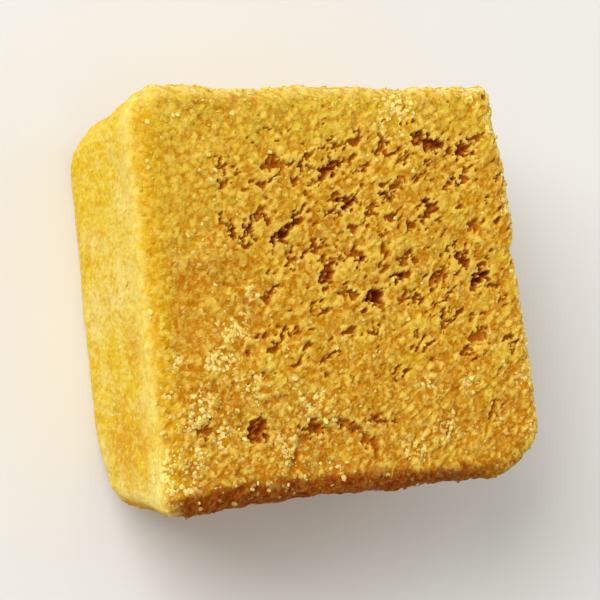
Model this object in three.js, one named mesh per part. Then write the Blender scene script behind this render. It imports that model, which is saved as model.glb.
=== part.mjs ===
// A piece of mysore pak, the sweet of gram flour, ghee and sugar, cut as a thick square block. It lies
// on its plain back with the porous tan face up. Sizes are in millimetres, +Z is up, +X is the right and
// +Y the far side of the face, and the origin is the middle of the flat underside.
import * as THREE from "three";
import { mergeVertices } from "three/addons/utils/BufferGeometryUtils.js";

// ---- Driving dimensions ---------------------------------------------------------------------------

const THICKNESS = 26; // from the underside to the porous face
const HALF_SIZE = 24.5; // half of the block's width, on which the worn corners' shares are based

// The widest outline, seen from above: each corner's place, and the radius it is worn to.
const OUTLINE = {
  farLeft: { at: [-25.5, 25.8], worn: 4.8 },
  farRight: { at: [22.2, 24.4], worn: 1.3 },
  nearRight: { at: [25.2, -23.7], worn: 5.6 },
  nearLeft: { at: [-24.5, -24.9], worn: 1.5 },
};

// The cut sides. edge: the radius of the worn edge at the face. foot: how far in from the outline the
// flat underside starts. lean: the share of that which the straight part of the side takes up, the rest
// being the worn curve at its foot. footHeight: how high that curve reaches.
const SIDES = {
  left: { edge: 2.3, foot: 2.2, lean: 0.25, footHeight: 3.5 },
  right: { edge: 0.9, foot: 4.2, lean: 0.5, footHeight: 5.5 },
  near: { edge: 2.3, foot: 12.0, lean: 0.04, footHeight: 14.5 },
  far: { edge: 2.2, foot: 7.6, lean: 0.22, footHeight: 10.0 },
};
const FOOT_WORN = 6; // radius of the underside's corners
const CORNER_SHARPNESS = 8; // power by which one side's sizes give way to the next one's at a corner

// Unevenness of the whole crumbly surface, as layers of soft noise: how far apart its lumps are, and how
// far they reach in or out.
const LUMPS = [
  { apart: 11, reach: 0.42 },
  { apart: 5.2, reach: 0.3 },
  { apart: 2.7, reach: 0.24 },
];
const LEFT_SIDE_CALM = 0.4; // the knife left the left side smoother: its share of that unevenness
const CALM_BAND = [21.0, 23.7]; // how far left of the middle that starts, and where it is complete
const SEED = 417;

// Pores of the face: the middle along X and Y, the length, width and depth, and how many degrees the
// length is turned from +X. Most lie along the grain, which climbs to the right.
const PORES = [
  [4.3, -0.8, 3.4, 2.5, 2.1, 15],
  [7.6, 1.4, 2.8, 1.4, 1.4, 16],
  [3.0, 3.5, 1.9, 1.5, 1.8, 26],
  [-1.9, 2.6, 3.1, 1.6, 1.4, 65],
  [0.9, -0.2, 1.8, 1.4, 0.7, 30],
  [-12.0, -16.2, 3.6, 2.9, 1.3, 50],
  [-7.4, 7.0, 4.0, 1.6, 1.7, 8],
  [-5.4, 8.3, 2.8, 1.6, 1.4, 50],
  [-9.0, 9.4, 2.6, 1.4, 0.9, 10],
  [-11.0, 8.7, 1.9, 1.5, 1.4, 50],
  [-13.3, 8.3, 3.0, 1.4, 1.0, -80],
  [-14.6, 9.6, 1.9, 1.4, 0.7, -80],
  [-12.1, 6.9, 1.6, 1.4, 0.8, 40],
  [-2.8, 5.7, 2.4, 1.4, 1.0, 33],
  [-6.0, 4.4, 1.5, 1.4, 0.7, 50],
  [1.7, 10.6, 3.9, 1.7, 1.5, 37],
  [-0.1, 15.0, 4.8, 1.7, 1.4, 30],
  [-3.6, 15.3, 2.7, 1.6, 0.9, 55],
  [-7.2, 15.8, 3.3, 1.8, 0.9, -34],
  [-14.7, 16.0, 2.2, 1.5, 0.9, -80],
  [-14.3, 13.5, 1.5, 1.4, 0.7, 0],
  [1.2, 18.0, 3.0, 1.4, 0.7, 15],
  [6.6, 17.1, 2.9, 1.5, 0.8, 65],
  [6.8, 10.8, 1.6, 1.4, 1.0, 60],
  [4.8, 9.4, 1.8, 1.4, 0.7, -22],
  [8.6, 12.3, 2.8, 1.4, 0.8, 45],
  [10.3, 15.5, 1.6, 1.4, 0.6, -8],
  [12.9, 17.7, 6.0, 1.6, 1.4, -10],
  [18.1, 16.6, 4.6, 1.7, 1.3, 28],
  [12.4, 9.9, 3.0, 1.7, 1.5, 12],
  [15.2, 12.6, 2.2, 1.5, 1.2, 50],
  [17.4, 12.9, 2.2, 1.4, 0.7, 10],
  [10.3, 7.4, 3.2, 1.4, 0.8, 35],
  [14.6, 4.7, 2.0, 1.4, 0.7, 31],
  [16.6, 3.0, 3.1, 1.5, 1.2, -50],
  [18.6, 0.6, 3.7, 1.7, 1.6, 36],
  [13.0, 0.9, 2.8, 1.4, 0.9, 45],
  [9.6, -1.2, 1.6, 1.4, 1.1, -60],
  [13.5, -3.4, 1.7, 1.5, 1.0, 60],
  [8.2, 3.4, 2.2, 1.4, 0.7, 10],
  [17.9, 7.0, 2.0, 1.4, 0.7, 30],
  [3.6, -4.9, 2.0, 1.4, 0.8, 30],
  [-7.9, -4.9, 2.6, 1.4, 0.8, 50],
  [17.9, -6.3, 3.0, 1.4, 0.6, 45],
  [15.6, -7.8, 2.2, 1.4, 0.7, 5],
  [6.3, -10.5, 2.6, 1.4, 0.6, 25],
  [-5.0, -15.9, 5.0, 1.5, 0.9, 14],
  [-0.2, -16.2, 3.0, 1.4, 0.8, -25],
  [3.8, -15.4, 3.6, 1.4, 0.7, -15],
  [1.6, -18.0, 1.6, 1.4, 0.8, -5],
  [19.2, -15.2, 3.5, 1.6, 0.6, 40],
  [-18.9, -15.5, 2.6, 1.4, 0.8, 10],
].map(([x, y, long, wide, deep, degrees]) => ({
  at: [x, y],
  long,
  wide,
  deep,
  turn: THREE.MathUtils.degToRad(degrees),
}));
const PORES_FROM = [23.5, 25.5]; // heights between which the pores fade in: they are the face's alone

// Soft noise pushes the pores' rims to and fro, so that none is a plain oval.
const RIM_TEARS = { apart: 1.7, reach: 0.55, seed: 431 };

// Crumbs broken from the edges: the middle, reach and depth of each scar.
const CHIPS = [
  { at: [-2.6, -20.5, 25], reach: 5.0, deep: 0.9 },
  { at: [12.0, -24.0, 23], reach: 3.2, deep: 1.1 },
  { at: [-16.0, -25.0, 21], reach: 3.0, deep: 0.8 },
  { at: [24.2, 4.0, 25], reach: 2.6, deep: 0.9 },
  { at: [24.6, -9.0, 12], reach: 5.0, deep: 1.4 },
  { at: [23.0, 17.0, 8], reach: 5.5, deep: 1.5 },
  { at: [6.0, 25.0, 9], reach: 6.0, deep: 1.5 },
  { at: [-13.0, 25.4, 17], reach: 4.0, deep: 1.0 },
  { at: [14.0, 24.6, 22], reach: 3.0, deep: 0.9 },
  { at: [24.0, -22.5, 23], reach: 5.5, deep: 1.3 },
];

// Mesh: cells across and along the face, and rows down each part of the side.
const FACE_CELLS = { across: 58, along: 60 };
const SIDE_ROWS = { edge: 3, straight: 8, foot: 6 };
const RELIEF_FADES_BELOW = 2.0; // the underside itself stays flat

// ---- Noise ------------------------------------------------------------------------------------------

// A number from -1 to 1 for each point of a whole-number lattice.
function latticeValue(i, j, k, seed) {
  let hash = Math.imul(i, 374761393) + Math.imul(j, 668265263) + Math.imul(k, 974634777) + seed;
  hash = Math.imul(hash ^ (hash >>> 13), 1274126177);
  return ((hash ^ (hash >>> 16)) >>> 0) / 2 ** 31 - 1;
}

const ease = (t) => t * t * (3 - 2 * t);
const mix = (from, to, share) => from + (to - from) * share;
const mixPoint = (from, to, share) => [mix(from[0], to[0], share), mix(from[1], to[1], share)];
const rise = (value, low, high) => ease(THREE.MathUtils.clamp((value - low) / (high - low), 0, 1));

// Soft noise from -1 to 1: lattice values, eased between the eight corners of the cell.
function softNoise(x, y, z, seed) {
  const [i, j, k] = [Math.floor(x), Math.floor(y), Math.floor(z)];
  const [u, v, w] = [ease(x - i), ease(y - j), ease(z - k)];
  const alongX = (dj, dk) =>
    mix(latticeValue(i, j + dj, k + dk, seed), latticeValue(i + 1, j + dj, k + dk, seed), u);
  return mix(mix(alongX(0, 0), alongX(1, 0), v), mix(alongX(0, 1), alongX(1, 1), v), w);
}

// ---- The block's plain form -----------------------------------------------------------------------

// The outline's corners moved in by a named size of each side.
function cornersInset(size, worn) {
  const moved = ({ at, worn: own }, sideX, sideY) => ({
    at: [at[0] - Math.sign(at[0]) * SIDES[sideX][size], at[1] - Math.sign(at[1]) * SIDES[sideY][size]],
    worn: worn ?? own,
  });
  return {
    farLeft: moved(OUTLINE.farLeft, "left", "far"),
    farRight: moved(OUTLINE.farRight, "right", "far"),
    nearRight: moved(OUTLINE.nearRight, "right", "near"),
    nearLeft: moved(OUTLINE.nearLeft, "left", "near"),
  };
}

const FACE = cornersInset("edge");
const FOOT = cornersInset("foot", FOOT_WORN);

// A point of a four-cornered shape with round corners. across and along run from -1 to 1. The square
// patch at each corner is pulled in to a quarter disc, and the corners are then mixed.
function inShape(shape, across, along) {
  const corner = shape[(along > 0 ? "far" : "near") + (across > 0 ? "Right" : "Left")];
  const patch = corner.worn / HALF_SIZE;
  let [a, b] = [Math.abs(across), Math.abs(along)];
  const [s, t] = [(a - 1 + patch) / patch, (b - 1 + patch) / patch];
  if (s > 0 && t > 0) {
    a = 1 - patch + patch * s * Math.sqrt(1 - (t * t) / 2);
    b = 1 - patch + patch * t * Math.sqrt(1 - (s * s) / 2);
  }
  const [right, far] = [(1 + Math.sign(across) * a) / 2, (1 + Math.sign(along) * b) / 2];
  const near = mixPoint(shape.nearLeft.at, shape.nearRight.at, right);
  return mixPoint(near, mixPoint(shape.farLeft.at, shape.farRight.at, right), far);
}

// A side's size at a point of the rim. Near a corner the two sides' sizes run into each other.
function sideSize(size, across, along) {
  const pull = { left: -across, right: across, near: -along, far: along };
  let [sum, weights] = [0, 0];
  for (const side of Object.keys(SIDES)) {
    const weight = Math.max(0, pull[side]) ** CORNER_SHARPNESS;
    sum += weight * SIDES[side][size];
    weights += weight;
  }
  return sum / weights;
}

// The column of points down the side from one point of the face's rim.
function sideColumn(across, along) {
  const [face, outline, foot] = [FACE, OUTLINE, FOOT].map((shape) => inShape(shape, across, along));
  const [edge, lean, footHeight] = ["edge", "lean", "footHeight"].map((size) =>
    sideSize(size, across, along),
  );
  const column = [];
  for (let row = 1; row <= SIDE_ROWS.edge; row++) {
    const turn = (row / SIDE_ROWS.edge) * (Math.PI / 2);
    column.push([...mixPoint(face, outline, Math.sin(turn)), THICKNESS - edge * (1 - Math.cos(turn))]);
  }
  for (let row = 1; row <= SIDE_ROWS.straight; row++) {
    const down = row / SIDE_ROWS.straight;
    column.push([...mixPoint(outline, foot, lean * down), mix(THICKNESS - edge, footHeight, down)]);
  }
  for (let row = 1; row <= SIDE_ROWS.foot; row++) {
    const turn = (row / SIDE_ROWS.foot) * (Math.PI / 2);
    const inwards = lean + (1 - lean) * (1 - Math.cos(turn));
    column.push([...mixPoint(outline, foot, inwards), footHeight * (1 - Math.sin(turn))]);
  }
  return column;
}

// The block's closed surface: a grid on the face, columns down the sides, every second one of which
// stops at the worn edge, and a flat underside.
function plainBlock() {
  const { across: cellsX, along: cellsY } = FACE_CELLS;
  const points = [];
  const triangles = [];
  const add = (point) => points.push(point) - 1;

  const share = (step, cells) => (2 * step) / cells - 1;
  const grid = [];
  for (let j = 0; j <= cellsY; j++) {
    grid.push([]);
    for (let i = 0; i <= cellsX; i++) {
      const [x, y] = inShape(FACE, share(i, cellsX), share(j, cellsY));
      grid[j].push(add([x, y, THICKNESS]));
    }
  }
  for (let j = 0; j < cellsY; j++) {
    for (let i = 0; i < cellsX; i++) {
      const [a, b, c, d] = [grid[j][i], grid[j][i + 1], grid[j + 1][i + 1], grid[j + 1][i]];
      triangles.push([a, b, c], [a, c, d]);
    }
  }

  // The rim, anticlockwise from the near left corner.
  const rim = [];
  for (let i = 0; i < cellsX; i++) rim.push([i, 0]);
  for (let j = 0; j < cellsY; j++) rim.push([cellsX, j]);
  for (let i = cellsX; i > 0; i--) rim.push([i, cellsY]);
  for (let j = cellsY; j > 0; j--) rim.push([0, j]);

  let ring = rim.map(([i, j]) => grid[j][i]);
  let columns = rim.map(([i, j]) => sideColumn(share(i, cellsX), share(j, cellsY)));
  for (let row = 0; row < columns[0].length; row++) {
    if (row === SIDE_ROWS.edge) {
      columns = columns.filter((_, index) => index % 2 === 0);
      const next = columns.map((column) => add(column[row]));
      next.forEach((_, n) => {
        const [a, b, c] = [ring[2 * n], ring[2 * n + 1], ring[(2 * n + 2) % ring.length]];
        const [d, e] = [next[n], next[(n + 1) % next.length]];
        triangles.push([a, d, b], [b, d, e], [b, e, c]);
      });
      ring = next;
      continue;
    }
    const next = columns.map((column) => add(column[row]));
    next.forEach((_, n) => {
      const after = (n + 1) % next.length;
      triangles.push([ring[n], next[n], next[after]], [ring[n], next[after], ring[after]]);
    });
    ring = next;
  }
  const under = ring.map((index) => new THREE.Vector2(points[index][0], points[index][1]));
  for (const [a, b, c] of THREE.ShapeUtils.triangulateShape(under, [])) {
    triangles.push([ring[a], ring[c], ring[b]]);
  }

  const geometry = new THREE.BufferGeometry();
  geometry.setAttribute("position", new THREE.Float32BufferAttribute(points.flat(), 3));
  geometry.setIndex(triangles.flat());
  return geometry;
}

// ---- Crumbly relief -------------------------------------------------------------------------------

// How deep the pores are at a point of the face: each is a bowl on an ellipse, whose rim is torn.
function poreDepth(x, y) {
  const { apart, reach, seed } = RIM_TEARS;
  const [tornX, tornY] = [0, 1].map((axis) => reach * softNoise(x / apart, y / apart, 0, seed + axis));
  let depth = 0;
  for (const { at, long, wide, deep, turn } of PORES) {
    const [dx, dy] = [x + tornX - at[0], y + tornY - at[1]];
    const lengthwise = dx * Math.cos(turn) + dy * Math.sin(turn);
    const sideways = dy * Math.cos(turn) - dx * Math.sin(turn);
    const away = Math.hypot(lengthwise / long, sideways / wide) * 2;
    if (away < 1) depth = Math.max(depth, deep * (1 - away * away));
  }
  return depth;
}

// How deep the scars of broken crumbs are: each is a soft hollow round its middle.
function chipDepth(x, y, z) {
  let depth = 0;
  for (const { at, reach, deep } of CHIPS) {
    const away = Math.hypot(x - at[0], y - at[1], z - at[2]) / reach;
    if (away < 1) depth = Math.max(depth, deep * (1 - away * away) ** 2);
  }
  return depth;
}

// How far the crumbly surface stands out from the plain one.
function relief(x, y, z) {
  const calm = mix(1, LEFT_SIDE_CALM, rise(-x, ...CALM_BAND));
  let height = 0;
  LUMPS.forEach(({ apart, reach }, layer) => {
    height += calm * reach * softNoise(x / apart, y / apart, z / apart, SEED + layer);
  });
  const onFace = rise(z, ...PORES_FROM);
  return (height - onFace * poreDepth(x, y) - chipDepth(x, y, z)) * rise(z, 0, RELIEF_FADES_BELOW);
}

// Moves every vertex along its normal by the relief there.
function roughen(geometry) {
  geometry.computeVertexNormals();
  const { position, normal } = geometry.attributes;
  for (let n = 0; n < position.count; n++) {
    const point = new THREE.Vector3().fromBufferAttribute(position, n);
    const outward = new THREE.Vector3().fromBufferAttribute(normal, n);
    point.addScaledVector(outward, relief(point.x, point.y, point.z));
    position.setXYZ(n, point.x, point.y, point.z);
  }
  geometry.deleteAttribute("normal");
  const closed = mergeVertices(geometry);
  closed.computeVertexNormals();
  return closed;
}

// ---- The piece ------------------------------------------------------------------------------------

const sweet = new THREE.MeshStandardMaterial({ color: 0xd9a43b, roughness: 0.7, metalness: 0 });

const block = new THREE.Mesh(roughen(plainBlock()), sweet);
block.name = "sweet_block";

const mysorePak = new THREE.Group();
mysorePak.add(block);

export default mysorePak;
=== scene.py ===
"""A piece of mysore pak: a crumbly block of gram flour, ghee and sugar with a porous tan face.

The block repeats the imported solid's formulas on a finer mesh, so both have one form, and carries
finer layers on it: granules, clumps, crevices along the grain, and fine streaks. The crumbs that
cling to it are pieces of their own. Lengths are millimetres until a mesh is made, when they turn into
metres. +Z is up and the porous face looks up, +X is its right and +Y its far end.
"""

from __future__ import annotations

import logging
import math
from dataclasses import dataclass, field
from enum import Enum, IntEnum
from functools import cached_property
from itertools import product

import bpy
import numpy as np
from mathutils import Matrix, Vector

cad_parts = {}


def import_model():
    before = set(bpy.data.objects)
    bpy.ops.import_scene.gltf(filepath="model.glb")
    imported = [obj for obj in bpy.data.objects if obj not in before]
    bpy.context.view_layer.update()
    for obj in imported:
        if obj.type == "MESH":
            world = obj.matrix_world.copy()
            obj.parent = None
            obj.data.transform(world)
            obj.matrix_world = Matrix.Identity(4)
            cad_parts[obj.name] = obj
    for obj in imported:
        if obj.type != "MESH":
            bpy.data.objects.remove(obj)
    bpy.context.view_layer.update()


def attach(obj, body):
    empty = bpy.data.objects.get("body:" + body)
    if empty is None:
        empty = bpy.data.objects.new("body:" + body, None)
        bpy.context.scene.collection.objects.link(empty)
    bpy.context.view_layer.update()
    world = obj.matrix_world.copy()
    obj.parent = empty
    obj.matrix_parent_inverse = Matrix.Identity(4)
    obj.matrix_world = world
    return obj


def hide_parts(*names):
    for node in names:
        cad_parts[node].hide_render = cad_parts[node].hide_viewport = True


Array = np.ndarray

MILLIMETRE = 0.001
BODY = "root"
BLOCK_NODE = "sweet_block"
X, Y, Z = range(3)

# The share of its cell's width in which the point of each cell is strewn.
STREWN = 0.9

log = logging.getLogger("mysore_pak")


# ---- Steps and noise ---------------------------------------------------------------------------------


def eased(share: Array) -> Array:
    """The smooth step 3 s squared minus 2 s cubed of a share from 0 to 1."""
    return share * share * (3 - 2 * share)


def rise(value: Array, low: float, high: float) -> Array:
    """A smooth step: 0 below low, 1 above high."""
    return eased(np.clip((value - low) / (high - low), 0, 1))


def mix(start: Array, end: Array, share: Array) -> Array:
    """The point that lies a share of the way from start to end."""
    return start + (end - start) * share


@dataclass(frozen=True)
class Step:
    """A smooth step along an axis, from 0 where it starts to 1 where it is full, either way round."""

    axis: int
    start: float
    full: float

    def at(self, vectors: Array) -> Array:
        """The step at each of some points or normals, (n,)."""
        way = 1 if self.full > self.start else -1
        return rise(way * vectors[:, self.axis], way * self.start, way * self.full)


def lattice_value(cells: Array, seed: int) -> Array:
    """A number from -1 to 1 for each point of a whole-number lattice.

    The three indices are multiplied by large odd numbers, added, and stirred with shifts in 32 bits.

    Args:
        cells: whole numbers, (..., 3).
        seed: which of the endless sets of numbers to take.

    Returns:
        Numbers from -1 to 1, (...).
    """
    keys = cells.astype(np.int64).astype(np.uint32)
    stirred = keys[..., 0] * np.uint32(374761393) + keys[..., 1] * np.uint32(668265263)
    stirred += keys[..., 2] * np.uint32(974634777) + np.uint32(seed)
    stirred = (stirred ^ (stirred >> np.uint32(13))) * np.uint32(1274126177)
    return (stirred ^ (stirred >> np.uint32(16))).astype(float) / 2.0**31 - 1


def soft_noise(points: Array, seed: int) -> Array:
    """Smooth noise from -1 to 1: the lattice values at a cell's eight corners, mixed by eased shares.

    Args:
        points: places in cells, (n, 3).
        seed: which noise.

    Returns:
        The noise at each point, (n,).
    """
    cells = np.floor(points)
    shares = eased(points - cells)
    total = np.zeros(len(points))
    for corner in product((0, 1), repeat=3):
        weights = np.prod(np.where(corner, shares, 1 - shares), axis=1)
        total += weights * lattice_value(cells + corner, seed)
    return total


def ragged_noise(points: Array, seed: int, layers: int = 3, kept: float = 0.6) -> Array:
    """Noise of several layers, each half as wide as the one before and weaker by a share.

    Each layer is gradient noise: at a cell's eight corners the offset from the corner times that
    corner's own slope, mixed by eased shares. The sum is divided by its spread.

    Args:
        points: places in cells of the widest layer, (n, 3).
        seed: which noise.
        layers: how many layers.
        kept: the share of its strength that each layer hands on.

    Returns:
        The noise at each point, whose spread (one standard deviation) is 1, (n,).
    """
    total = np.zeros(len(points))
    for layer in range(layers):
        cells = np.floor(points * 2**layer)
        offsets = points * 2**layer - cells
        shares = eased(offsets)
        for corner in product((0, 1), repeat=3):
            weights = np.prod(np.where(corner, shares, 1 - shares), axis=1) * kept**layer
            for axis in range(3):
                slope = lattice_value(cells + corner, seed + 3 * layer + axis)
                total += weights * slope * (offsets[:, axis] - corner[axis])
    return total / total.std()


def nearest_seed(points: Array, seed: int) -> tuple[Array, Array]:
    """The nearest of the points that are strewn one in each unit cell.

    Each cell's point lies at its middle plus half of STREWN times three lattice values.

    Args:
        points: places in cells, (n, 3).
        seed: which strewing.

    Returns:
        How far the nearest one is, in cells, and a number from 0 to 1 that is its own, both (n,).
    """
    cells = np.floor(points)
    away = np.full(len(points), np.inf)
    own = np.zeros(len(points))
    for step in product((-1, 0, 1), repeat=3):
        cell = cells + step
        place = cell + 0.5
        for axis in range(3):
            place[:, axis] += lattice_value(cell, seed + axis) * STREWN / 2
        distance = np.linalg.norm(place - points, axis=1)
        nearer = distance < away
        away[nearer] = distance[nearer]
        own[nearer] = (lattice_value(cell[nearer], seed + 3) + 1) / 2
    return away, own


# ---- The block's form ------------------------------------------------------------------------------


@dataclass(frozen=True)
class Corner:
    """A corner of the widest outline: its place, and the radius it is worn to."""

    at: tuple[float, float]
    worn: float


@dataclass(frozen=True)
class Side:
    """A cut side of the block.

    edge is the radius of the worn edge at the face, foot how far in from the outline the flat
    underside starts, lean the share of that which the straight part takes up, and foot_height how
    high the worn curve at the foot reaches.
    """

    edge: float
    foot: float
    lean: float
    foot_height: float


@dataclass(frozen=True)
class BlockForm:
    """The plain block: a face, an outline and a foot of four corners each, joined by columns."""

    thickness: float = 26.0
    half_size: float = 24.5
    foot_worn: float = 6.0
    corner_sharpness: int = 8
    corners: dict[str, Corner] = field(
        default_factory=lambda: {
            "far_left": Corner((-25.5, 25.8), 4.8),
            "far_right": Corner((22.2, 24.4), 1.3),
            "near_right": Corner((25.2, -23.7), 5.6),
            "near_left": Corner((-24.5, -24.9), 1.5),
        }
    )
    sides: dict[str, Side] = field(
        default_factory=lambda: {
            "left": Side(edge=2.3, foot=2.2, lean=0.25, foot_height=3.5),
            "right": Side(edge=0.9, foot=4.2, lean=0.5, foot_height=5.5),
            "near": Side(edge=2.3, foot=12.0, lean=0.04, foot_height=14.5),
            "far": Side(edge=2.2, foot=7.6, lean=0.22, foot_height=10.0),
        }
    )

    def inset(self, size: str | None = None, worn: float | None = None) -> dict[str, Corner]:
        """The outline's corners, moved in by one of the sizes of the two sides that meet there.

        Args:
            size: the name of that size of Side, or None to leave the corners where they are.
            worn: the corners' radius, or None for each one's own.

        Returns:
            The corners by name.
        """
        moved = {}
        for name, corner in self.corners.items():
            y_side, x_side = name.split("_")
            x, y = corner.at
            if size is not None:
                x -= math.copysign(getattr(self.sides[x_side], size), x)
                y -= math.copysign(getattr(self.sides[y_side], size), y)
            moved[name] = Corner((x, y), corner.worn if worn is None else worn)
        return moved

    def in_shape(self, shape: dict[str, Corner], across: Array, along: Array) -> Array:
        """Points of a four-cornered shape with round corners.

        The square patch at each corner is pulled in to a quarter disc, each coordinate by the root of
        one less half of the other one's square, and then the four corners are mixed by their shares.

        Args:
            shape: the corners.
            across: -1 at the left side to 1 at the right one, (n,).
            along: -1 at the near side to 1 at the far one, (n,).

        Returns:
            Places on the floor plan, (n, 2).
        """
        at = {name: np.array(corner.at) for name, corner in shape.items()}
        far_worn = np.where(across > 0, shape["far_right"].worn, shape["far_left"].worn)
        near_worn = np.where(across > 0, shape["near_right"].worn, shape["near_left"].worn)
        patch = np.where(along > 0, far_worn, near_worn) / self.half_size
        a, b = np.abs(across), np.abs(along)
        s, t = np.clip((a - 1 + patch) / patch, 0, 1), np.clip((b - 1 + patch) / patch, 0, 1)
        pulled = (s > 0) & (t > 0)
        a = np.where(pulled, 1 - patch + patch * s * np.sqrt(1 - t * t / 2), a)
        b = np.where(pulled, 1 - patch + patch * t * np.sqrt(1 - s * s / 2), b)
        right = ((1 + np.sign(across) * a) / 2)[:, None]
        far = ((1 + np.sign(along) * b) / 2)[:, None]
        near_line = mix(at["near_left"], at["near_right"], right)
        return mix(near_line, mix(at["far_left"], at["far_right"], right), far)

    def side_size(self, size: str, across: Array, along: Array) -> Array:
        """A side's size at points of the rim, where two sides' sizes run into each other at a corner.

        It is the mean of the four sides' sizes, each weighed by a high power of how far the point lies
        to that side.
        """
        pulls = {"left": -across, "right": across, "near": -along, "far": along}
        weights = {name: np.maximum(0, pull) ** self.corner_sharpness for name, pull in pulls.items()}
        total = sum(weights[name] * getattr(self.sides[name], size) for name in pulls)
        return total / sum(weights.values())

    def worn_edge(self, across: Array, along: Array, rows: int) -> list[Array]:
        """Rings from the face's rim over the worn edge to the outline, a quarter turn in equal steps."""
        face = self.in_shape(self.inset("edge"), across, along)
        outline = self.in_shape(self.inset(), across, along)
        edge = self.side_size("edge", across, along)
        rings = []
        for turn in np.arange(1, rows + 1) / rows * math.pi / 2:
            plan = mix(face, outline, math.sin(turn))
            height = self.thickness - edge * (1 - math.cos(turn))
            rings.append(np.column_stack([plan, height]))
        return rings

    def side_wall(self, across: Array, along: Array, rows: int) -> list[Array]:
        """Rings from the outline down to the underside.

        Each column is a straight part that leans in, then a quarter of an ellipse to the foot. Its
        rows are shared out between the two by how long they are.
        """
        outline = self.in_shape(self.inset(), across, along)
        foot = self.in_shape(self.inset("foot", self.foot_worn), across, along)
        edge, lean, foot_height = (
            self.side_size(size, across, along) for size in ("edge", "lean", "foot_height")
        )
        inset = np.linalg.norm(foot - outline, axis=1)
        straight = np.hypot(self.thickness - edge - foot_height, inset * lean)
        curved = math.pi / 4 * (foot_height + inset * (1 - lean))
        knee = straight / (straight + curved)
        rings = []
        for down in np.arange(1, rows + 1) / rows:
            turn = np.clip((down - knee) / (1 - knee), 0, 1) * math.pi / 2
            fallen = np.minimum(down / knee, 1)
            inwards = lean * fallen + (1 - lean) * (1 - np.cos(turn))
            height = mix(self.thickness - edge, foot_height, fallen) - foot_height * np.sin(turn)
            rings.append(np.column_stack([mix(outline, foot, inwards[:, None]), height]))
        return rings


class Skin:
    """A closed surface of triangles, put together ring by ring."""

    def __init__(self) -> None:
        """Starts an empty surface."""
        self._points: list[Array] = []
        self._faces: list[Array] = []
        self._count = 0

    def add(self, points: Array) -> Array:
        """Adds points, and returns their numbers."""
        self._points.append(points)
        self._count += len(points)
        return np.arange(self._count - len(points), self._count)

    def grid(self, numbers: Array) -> None:
        """Faces over a grid of point numbers, (rows, columns), two to a cell."""
        a, b, c, d = numbers[:-1, :-1], numbers[:-1, 1:], numbers[1:, 1:], numbers[1:, :-1]
        for corners in ((a, b, c), (a, c, d)):
            self._faces.append(np.stack([corner.ravel() for corner in corners], axis=1))

    def band(self, upper: Array, lower: Array) -> None:
        """Faces between two rings of as many points."""
        upper_next, lower_next = np.roll(upper, -1), np.roll(lower, -1)
        self._faces.append(np.stack([upper, lower, lower_next], axis=1))
        self._faces.append(np.stack([upper, lower_next, upper_next], axis=1))

    def halving(self, upper: Array, lower: Array) -> None:
        """Faces between a ring and one of half as many points, three for each of the lower ones."""
        a, b, c = upper[::2], upper[1::2], np.roll(upper[::2], -1)
        d, e = lower, np.roll(lower, -1)
        for corners in ((a, d, b), (b, d, e), (b, e, c)):
            self._faces.append(np.stack(corners, axis=1))

    def close(self, ring: Array, middle: Array) -> None:
        """A fan of faces from a ring to one point in its middle."""
        (centre,) = self.add(middle[None])
        around = np.roll(ring, -1)
        self._faces.append(np.stack([ring, np.full(len(ring), centre), around], axis=1))

    @property
    def points(self) -> Array:
        """All points so far, (n, 3)."""
        return np.concatenate(self._points)

    @property
    def faces(self) -> Array:
        """All triangles so far, (m, 3), whose corners run anticlockwise from outside."""
        return np.concatenate(self._faces)


def face_vectors(points: Array, faces: Array) -> Array:
    """For each triangle, the vector square to it whose length is twice its area, (m, 3)."""
    a, b, c = (points[faces[:, corner]] for corner in range(3))
    return np.cross(b - a, c - a)


def point_normals(points: Array, faces: Array) -> Array:
    """For each point, the mean direction of its triangles, each weighed by its area, (n, 3)."""
    square = face_vectors(points, faces)
    total = np.zeros_like(points)
    for axis in range(3):
        for corner in range(3):
            total[:, axis] += np.bincount(faces[:, corner], square[:, axis], len(points))
    return total / np.maximum(np.linalg.norm(total, axis=1, keepdims=True), 1e-12)


def point_areas(points: Array, faces: Array) -> Array:
    """For each point, a third of the area of its triangles, (n,)."""
    areas = np.linalg.norm(face_vectors(points, faces), axis=1) / 6
    return sum(np.bincount(faces[:, corner], areas, len(points)) for corner in range(3))


def neighbour_mean(values: Array, faces: Array, rounds: int) -> Array:
    """Numbers on a mesh, each replaced by the mean of its neighbours' for some rounds, (n,)."""
    starts = np.concatenate([faces[:, corner] for corner in (0, 1, 2, 1, 2, 0)])
    ends = np.concatenate([faces[:, corner] for corner in (1, 2, 0, 0, 1, 2)])
    neighbours = np.bincount(starts, minlength=len(values))
    for _ in range(rounds):
        values = np.bincount(starts, values[ends], len(values)) / neighbours
    return values


def mesh_object(
    name: str, points: Array, faces: Array, values: dict[str, Array] | None = None, smooth: bool = True
) -> bpy.types.Object:
    """Makes a mesh of triangles and puts it into the scene.

    Args:
        name: the piece's name.
        points: places in millimetres, (n, 3).
        faces: triangles, (m, 3).
        values: numbers for each point, kept in the mesh under these names.
        smooth: whether its facets blend into each other.

    Returns:
        The object, which sits at the origin.
    """
    mesh = bpy.data.meshes.new(name)
    mesh.vertices.add(len(points))
    mesh.vertices.foreach_set("co", (points * MILLIMETRE).astype(np.float32).ravel())
    mesh.loops.add(faces.size)
    mesh.loops.foreach_set("vertex_index", faces.astype(np.int32).ravel())
    mesh.polygons.add(len(faces))
    mesh.polygons.foreach_set("loop_start", np.arange(0, faces.size, 3, dtype=np.int32))
    for value_name, numbers in (values or {}).items():
        attribute = mesh.attributes.new(value_name, "FLOAT", "POINT")
        attribute.data.foreach_set("value", numbers.astype(np.float32))
    mesh.update(calc_edges=True)
    mesh.validate()
    if smooth:
        mesh.shade_smooth()
    else:
        mesh.shade_flat()
    piece = bpy.data.objects.new(name, mesh)
    bpy.context.scene.collection.objects.link(piece)
    return piece


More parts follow.
